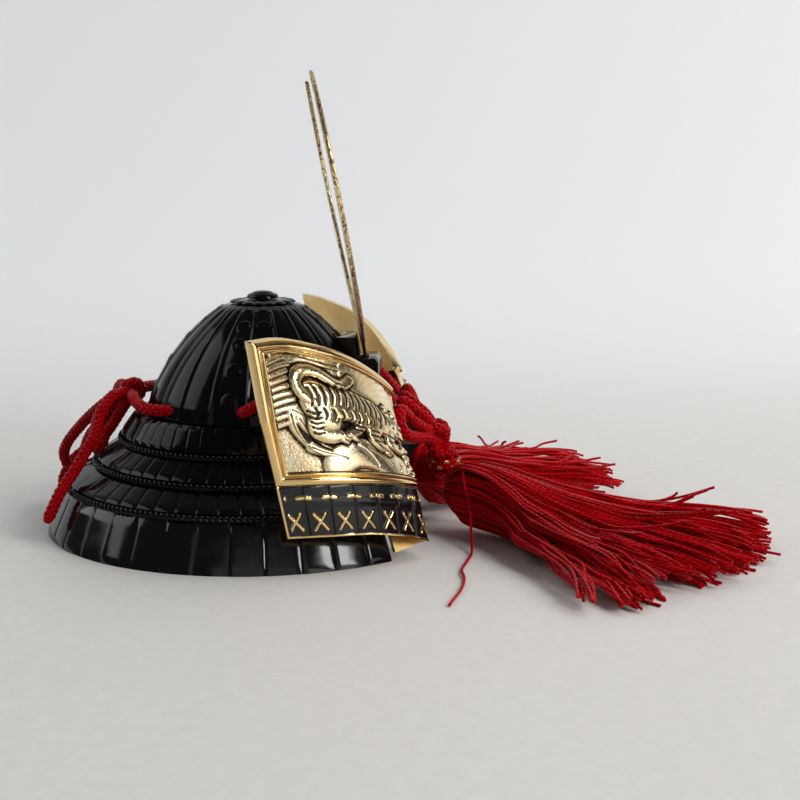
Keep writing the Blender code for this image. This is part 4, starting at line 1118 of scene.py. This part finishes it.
def addBeast(stroke, field, inkAndShade):
    body = np.zeros(field.shape)
    for path, radii, height in beast:
        body = np.maximum(body, height * dome(stroke(path, radii)))
    solid = body > 0.02
    rim = np.clip(blurred(solid.astype(float), 5) * 2.8, 0, 1) * ~solid
    inkAndShade = np.maximum(inkAndShade * ~solid, rim)
    field = np.where(solid, np.maximum(body + 0.15, field * 0.3), field - 0.3 * rim)
    # Painted shadow: the hollow under the belly is carved and is also painted dark along with the dark lines.
    hollow = stroke([(0.42, 0.42), (0.50, 0.41), (0.56, 0.36)], (1.9, 1.5))
    deep = np.exp(-hollow ** 4) * (body < 0.75)
    field -= 0.35 * deep
    inkAndShade = np.maximum(inkAndShade, deep)
    bands = []
    for k in range(13):
        x = 0.215 + 0.043 * k
        top = 0.765 - 0.012 * abs(k - 4)
        bands.append(([(x + 0.004, top), (x + 0.016, top - 0.07), (x + 0.002, top - 0.15)], (0.42, 0.16)))
    for k in range(9):
        x = 0.235 + 0.055 * k
        bands.append(([(x, 0.555), (x + 0.012, 0.51), (x - 0.004, 0.465)], (0.30, 0.16)))
    for k in range(5):
        y = 0.52 - 0.045 * k
        bands.append(([(0.185 + 0.004 * k, y), (0.225, y - 0.012), (0.265, y + 0.002)], (0.30, 0.16)))
    for x, y in ((0.63, 0.42), (0.62, 0.37), (0.64, 0.32), (0.52, 0.44), (0.49, 0.40), (0.79, 0.40),
                 (0.785, 0.34)):
        bands.append(([(x - 0.03, y + 0.006), (x + 0.03, y - 0.006)], (0.26, 0.20)))
    for x, y, lean in ((0.80, 0.62, 0.01), (0.825, 0.625, 0.0), (0.85, 0.615, -0.01), (0.765, 0.60, 0.02)):
        bands.append(([(x, y), (x + lean, y - 0.06)], (0.28, 0.18)))
    for path, radii in bands:
        cut = np.exp(-stroke(path, (radii[0] * 1.5, radii[1] * 1.7), 2.4) ** 4) * solid
        field -= 0.17 * cut
        inkAndShade = np.maximum(inkAndShade, cut)
    for x, y in ((0.815, 0.515), (0.878, 0.520), (0.925, 0.455)):
        spot = stroke([(x, y), (x + 0.006, y)], (0.40, 0.40), 3.0)
        inkAndShade = np.maximum(inkAndShade, np.exp(-spot ** 4))
        field -= 0.2 * np.exp(-spot ** 2)
    tail = curved(beast[0][0])
    for k in range(1, len(tail) - 1):
        dot = stroke([tail[k], (tail[k][0] + 0.012, tail[k][1] + 0.004)], (0.34, 0.30), 3.0)
        inkAndShade = np.maximum(inkAndShade, 0.9 * np.exp(-dot ** 4))
    return field, inkAndShade, body


def makeField(columnsAt, rowsAt):
    # heights in metres over the plate's outside, with how dark and how golden each point is
    a, s = np.meshgrid(columnsAt, rowsAt)
    length = np.interp(s, [section[0] for section in plate["sections"]], plate["widths"])
    total = plate["tall"]
    borderY = plate["border"] * total
    x, y = np.minimum(a, 1.06) * length, s * total
    u = (x - panel["left"]) / (length - panel["left"])
    v = (y - borderY - panel["low"]) / (total - borderY - panel["low"] - panel["high"])
    across, up = u * panel["wide"], v * panel["tall"]

    def stroke(path, radii, box=1.6):
        line = [(p * panel["wide"], q * panel["tall"]) for p, q in curved(path)]
        return strokeAway(across, up, line, radii, box)

    draw = np.random.default_rng(5)
    field, inkAndShade = makeScenery(stroke, x.shape, draw)
    field, inkAndShade, body = addBeast(stroke, field, inkAndShade)
    grain = blurred(draw.normal(0, 1, x.shape), 1)
    field += 0.045 * grain * np.clip(1 - field / 0.12, 0, 1) + 0.012 * grain * (body > 0.05)
    cavity = np.clip((blurred(field, 6) - field) / 0.20, 0, 1)
    cavity = np.maximum(cavity, np.clip((blurred(field, 3) - field) / 0.11, 0, 1) * 0.9)
    inkAndShade = np.maximum(inkAndShade, cavity)
    # raised frame round the panel
    away = np.minimum(x, np.minimum(total - y, y - borderY))
    inside = away >= rail["wide"]
    raised = np.interp(away, rail["away"], rail["height"])
    lift = np.where(inside, field + 0.05, raised)
    dark = np.where(inside, inkAndShade, np.exp(-((away - 3.42) / 0.20) ** 2))
    dark = np.maximum(dark, 0.7 * np.exp(-((away - 2.32) / 0.12) ** 2))
    polish = np.where(inside, 0.35 * (body > 0.3), 1.0)
    # lacquered border: leaning shingles, gold dashes and crosses
    below = y <= borderY
    foot = plate["widths"][0]
    pitch = foot * stitch["pitch"]
    column = (x * foot / length - stitch["start"]) / pitch + 0.5
    part = column - np.floor(column)
    cx = (part - 0.5) * pitch
    shingle = 0.60 * (1 - part) * np.clip(part / 0.05, 0, 1)
    shingle += 0.16 * np.clip(1 - ((y - 8.6) / 1.3) ** 2, 0, 1) * np.clip((part - 0.05) * 20, 0, 1)
    arm = [(p, stitch["crossLevel"] + q) for p, q in ((-1.45, -2.1), (-0.9, -1.2), (0.9, 1.2), (1.3, 1.9))]
    cross = np.minimum(*(strokeAway(cx * way, y, arm, (0.44, 0.44)) for way in (-1, 1)))
    dx = (part - np.where(part > 0.5, 1.0, 0.0)) * pitch
    level = stitch["dashLevel"]
    dash = strokeAway(dx, y, [(-1.35, level), (0.0, level + 0.15), (1.35, level)], (0.60, 0.60))
    marks = np.minimum(cross, dash)
    keep = (x > 1.2) & (a < 0.995)
    edge = (x < 0.5) | (y < 0.5)
    shingle = shingle * np.clip((borderY - y) / 0.3, 0, 1) + 0.5 * dome(marks) * keep
    lift = np.where(below, np.where(edge, 0.40, shingle), lift)
    golden = np.where(below, np.where(edge, 1.0, (marks < 0.95) & keep), 1.0)
    dark = np.where(below, np.where(edge, 0.1, np.clip(marks - 0.55, 0, 1) * 1.6), dark)
    plain = np.clip((a - 1.0) / 0.04, 0, 1)
    return lift * (1 - plain) / 1000, np.clip(dark * (1 - plain), 0, 1), golden.astype(float), polish


def makePlates():
    # columns gather where the sheet turns into its leg
    turn = np.array([1.01, 1.02, 1.035, 1.05, 1.07, 1.09, 1.12, 1.15, 1.18, 1.22, 1.28, 1.36, 1.5, 1.75,
                     2.0])
    columnsAt = np.concatenate([np.linspace(0.0, 1.0, plate["columns"] - len(turn)), turn])
    rowsAt = np.linspace(0.0, 1.0, plate["rows"])
    lift, dark, golden, polish = makeField(columnsAt, rowsAt)
    coarse = np.concatenate([np.linspace(0.0, 0.93, 26), [0.945, 0.955, 0.963, 0.97, 0.978, 0.987, 1.0]])
    backAt = np.concatenate([[0.0, 0.012, 0.022, 0.030, 0.038, 0.048], np.linspace(0.07, 0.9, 22),
                             [0.93, 0.96, 0.98, 1.0], turn])
    topRidge = np.interp(coarse, (0.945, 0.963, 0.97, 0.978, 1.0), (0.0, 0.9, 1.0, 0.7, 0.7))
    sideRidge = np.interp(backAt, (0.0, 0.022, 0.030, 0.038, 0.048), (0.7, 0.7, 1.0, 0.9, 0.0))
    ridge = plate["ridge"] * np.maximum(topRidge[:, None], sideRidge)
    points = []
    for i, share in enumerate(rowsAt):
        places, outs = plateLine(share, columnsAt)
        points.append(places + outs * (plate["wall"] / 2 + lift[i])[:, None])
    for i, share in enumerate(coarse):
        places, outs = plateLine(share, backAt)
        points.append(places - outs * (plate["wall"] / 2 + ridge[i])[:, None])
    flat = np.vstack(points)
    layers = {"patinaAndShade": (dark, 0.0), "gold": (golden, 1.0), "polish": (polish, 0.0)}
    nr, nc = len(rowsAt), len(columnsAt)
    first = nr * nc
    faces = gridFaces(nr, nc)
    backFaces = gridFaces(len(coarse), len(backAt), first=first, flip=True)
    for label, side in (("right", 1), ("left", -1)):
        place = flat * np.array((side, 1.0, 1.0)) + axisPlace
        mesh = bpy.data.meshes.new("turnBack")
        mesh.from_pydata(place.tolist(), [], faces + backFaces)
        for finish in (reliefGold, satinGold):
            mesh.materials.append(finish)
        form = bmesh.new()
        form.from_mesh(mesh)
        form.faces.ensure_lookup_table()
        for face in form.faces[len(faces):]:
            face.material_index = 1
        bmesh.ops.bridge_loops(form, edges=[e for e in form.edges if e.is_boundary])
        bmesh.ops.recalc_face_normals(form, faces=form.faces)
        form.to_mesh(mesh)
        form.free()
        for layer, (values, rest) in layers.items():
            store = mesh.attributes.new(layer, "FLOAT", "POINT")
            everywhere = np.full(len(flat), rest, dtype=np.float32)
            everywhere[:first] = values.ravel()
            store.data.foreach_set("value", everywhere)
        mesh.shade_smooth()
        mesh.set_sharp_from_angle(angle=radians(55))
        done(newPiece("turnBack" + label.title(), mesh), "gilt_metal", "turn_back_" + label)


makePlates()
print("turn-back plates made")


# Crest horns

crest = {"wall": 0.0010, "height": 0.0765, "spread": 0.0460, "footLevel": 0.0416, "footFront": 0.0276,
         "tongue": 0.0062, "slot": 0.0032, "lean": 11.3, "turn": 7.5,
         "sections": [(0.13, 0.125, 0.085), (0.30, 0.176, 0.090), (0.52, 0.243, 0.092), (0.72, 0.341, 0.094),
                      (0.88, 0.461, 0.098), (0.97, 0.593, 0.104), (0.96, 0.735, 0.106), (0.84, 0.878, 0.080),
                      (0.65, 1.0, 0.0)]}


def crestPlace():
    foot = Vector((0.0, -crest["footFront"] + axisY, crest["footLevel"]))
    turn = Matrix.Rotation(radians(crest["turn"]), 4, "Z")
    lean = Matrix.Rotation(radians(-crest["lean"]), 4, "X")
    return Matrix.Translation(foot) @ turn @ lean


def hornSides():
    spread, tall = crest["spread"], crest["height"]
    line = smoothPath([(x * spread, z * tall, w * spread) for x, z, w in crest["sections"]], 0.0018)
    lower, upper = [], []
    for i in range(len(line) - 1):
        before = line[i - 1] if i else line[0] - np.array((0.001, 0.0003, 0.0))
        along = line[i + 1][:2] - before[:2]
        along = along / np.linalg.norm(along)
        out = np.array((along[1], -along[0]))
        lower.append(line[i][:2] + out * line[i][2])
        upper.append(line[i][:2] - out * line[i][2])
    return lower, upper, line[-1][:2]


def makeCrest():
    lower, upper, tip = hornSides()
    half = crest["tongue"] / 2
    notch = np.array((0.0, upper[0][1] + half * 0.4))
    outline = [np.array((half, 0.0)), np.array((half, crest["slot"]))] + lower
    outline += [tip] + upper[::-1] + [notch]
    outline += [np.array((-p[0], p[1])) for p in outline[::-1] if p[0] > 0]
    form = bmesh.new()
    wall = crest["wall"] / 2 - 0.0001
    face = form.faces.new([form.verts.new((p[0], -wall, p[1])) for p in outline])
    grown = bmesh.ops.extrude_face_region(form, geom=[face])["geom"]
    back = [part for part in grown if isinstance(part, bmesh.types.BMVert)]
    bmesh.ops.translate(form, verts=back, vec=(0, 2 * wall, 0))
    bmesh.ops.recalc_face_normals(form, faces=form.faces)
    mesh = bpy.data.meshes.new("crestHorns")
    form.to_mesh(mesh)
    form.free()
    mesh.materials.append(crestGold)
    piece = newPiece("crestHorns", mesh)
    roundEdges(piece, 0.00022, 2, 50, 35)
    piece.data.transform(crestPlace())
    done(piece, "gilt_metal", "crest_horns")
    # raised borders and an engraved vine on the front
    paths, widths = [], []
    for side in (-1, 1):
        for inset, thick in ((0.10, 1.0), (0.90, 1.0), (0.5, 0.8)):
            path = []
            for k in range(2, len(lower)):
                share = inset if inset != 0.5 else 0.5 + 0.16 * sin(k * 0.9)
                p = lower[k] * (1 - share) + upper[k] * share
                path.append((side * p[0], -wall - 0.00003, p[1]))
            if inset != 0.5:
                path.append((side * tip[0], -wall, tip[1] - 0.0006))
            path = smoothPath(path, 0.0009)
            paths.append(path)
            widths.append(np.full(len(path), thick))
            if inset == 0.5:
                for k in range(3, len(path) - 6, 5):
                    way = 1 if (k // 5) % 2 else -1
                    start = path[k]
                    t = np.linspace(0.1, 1.6, 9)
                    curl = [side * way * 0.0007 * t * np.cos(t), 0.0 * t, 0.0009 * t * np.sin(t + 0.4)]
                    paths.append(start + np.stack(curl, axis=1))
                    widths.append(np.linspace(1.0, 0.5, 9))
    vine = sweep("crestTrim", paths, widths, 0.00022, crestGold, sides=6)
    vine.data.transform(crestPlace())
    done(vine, "gilt_metal", "crest_horns")


makeCrest()
print("crest made")


# Table, backdrop and light

room = {"floor": (0.70, 0.68, 0.655), "wall": (0.86, 0.87, 0.885), "key": 6.5, "top": 7.2, "back": 4.6,
        "side": 2.0, "front": 2.6, "world": 0.07}


def makeRoom():
    made, tree, shader = newMaterial("paleTable", room["floor"], 0.55, Specular_IOR_Level=0.2)
    coords = addNode(tree, "ShaderNodeTexCoord").outputs["Object"]
    along = addNode(tree, "ShaderNodeSeparateXYZ", {"Vector": coords}).outputs[0]
    blend = addNode(tree, "ShaderNodeMapRange", {"Value": along, "From Min": 0.05, "From Max": 0.45},
                    interpolation_type="SMOOTHSTEP").outputs["Result"]
    paper = mixed(tree, ranged(tree, noiseOf(tree, 260.0, 5.0, 0.6), 0.0, 1.0, 0.4, 0.6), room["floor"],
                  tuple(c * 0.965 for c in room["floor"]))
    tree.links.new(mixed(tree, blend, paper, room["wall"]), shader.inputs["Base Color"])
    profile = [(-1.6, 0.0), (0.26, 0.0)]
    for k in range(1, 17):
        a = radians(90 * k / 16)
        profile.append((0.26 + 0.5 * sin(a), 0.5 - 0.5 * cos(a)))
    profile.append((0.76, 2.4))
    count = len(profile)
    points = [(x, y, z) for y in (-2.2, 2.2) for x, z in profile]
    faces = [(i, i + 1, count + i + 1, count + i) for i in range(count - 1)]
    meshPiece("table", points, faces, made)
    warm, white, cool = (1.0, 0.99, 0.97), (1.0, 1.0, 1.0), (0.95, 0.98, 1.0)
    for name, place, target, size, power, color, shown in (
            ("keyLight", (-0.50, -0.80, 0.62), (0.0, -0.02, 0.02), (0.26, 0.60), room["key"], warm, True),
            ("topLight", (0.42, -0.72, 0.98), (0.0, -0.02, 0.0), (1.0, 1.0), room["top"], warm, False),
            ("lowLight", (-0.80, -1.28, 0.20), (0.0, -0.03, 0.03), (1.3, 0.42), room["front"], white, True),
            ("sideLight", (-1.7, -0.35, 0.55), (0.0, -0.03, 0.03), (1.5, 1.0), room["side"], white, True),
            ("backLight", (0.10, 0.9, 0.75), (0.55, 0.0, 0.4), (0.9, 0.9), room["back"], cool, True)):
        lamp = bpy.data.lights.new(name, "AREA")
        lamp.shape = "RECTANGLE"
        lamp.size, lamp.size_y = size
        lamp.energy = power
        lamp.color = color
        piece = newPiece(name, lamp)
        piece.location = place
        piece.rotation_euler = (Vector(place) - Vector(target)).to_track_quat("Z", "Y").to_euler()
        piece.visible_glossy = shown
    world = bpy.data.worlds.new("room")
    world.use_nodes = True
    sky = world.node_tree.nodes["Background"].inputs
    sky["Color"].default_value = (0.90, 0.95, 1.0, 1.0)
    sky["Strength"].default_value = room["world"]
    scene.world = world
    scene.view_settings.view_transform = "Standard"


makeRoom()
print("room made")
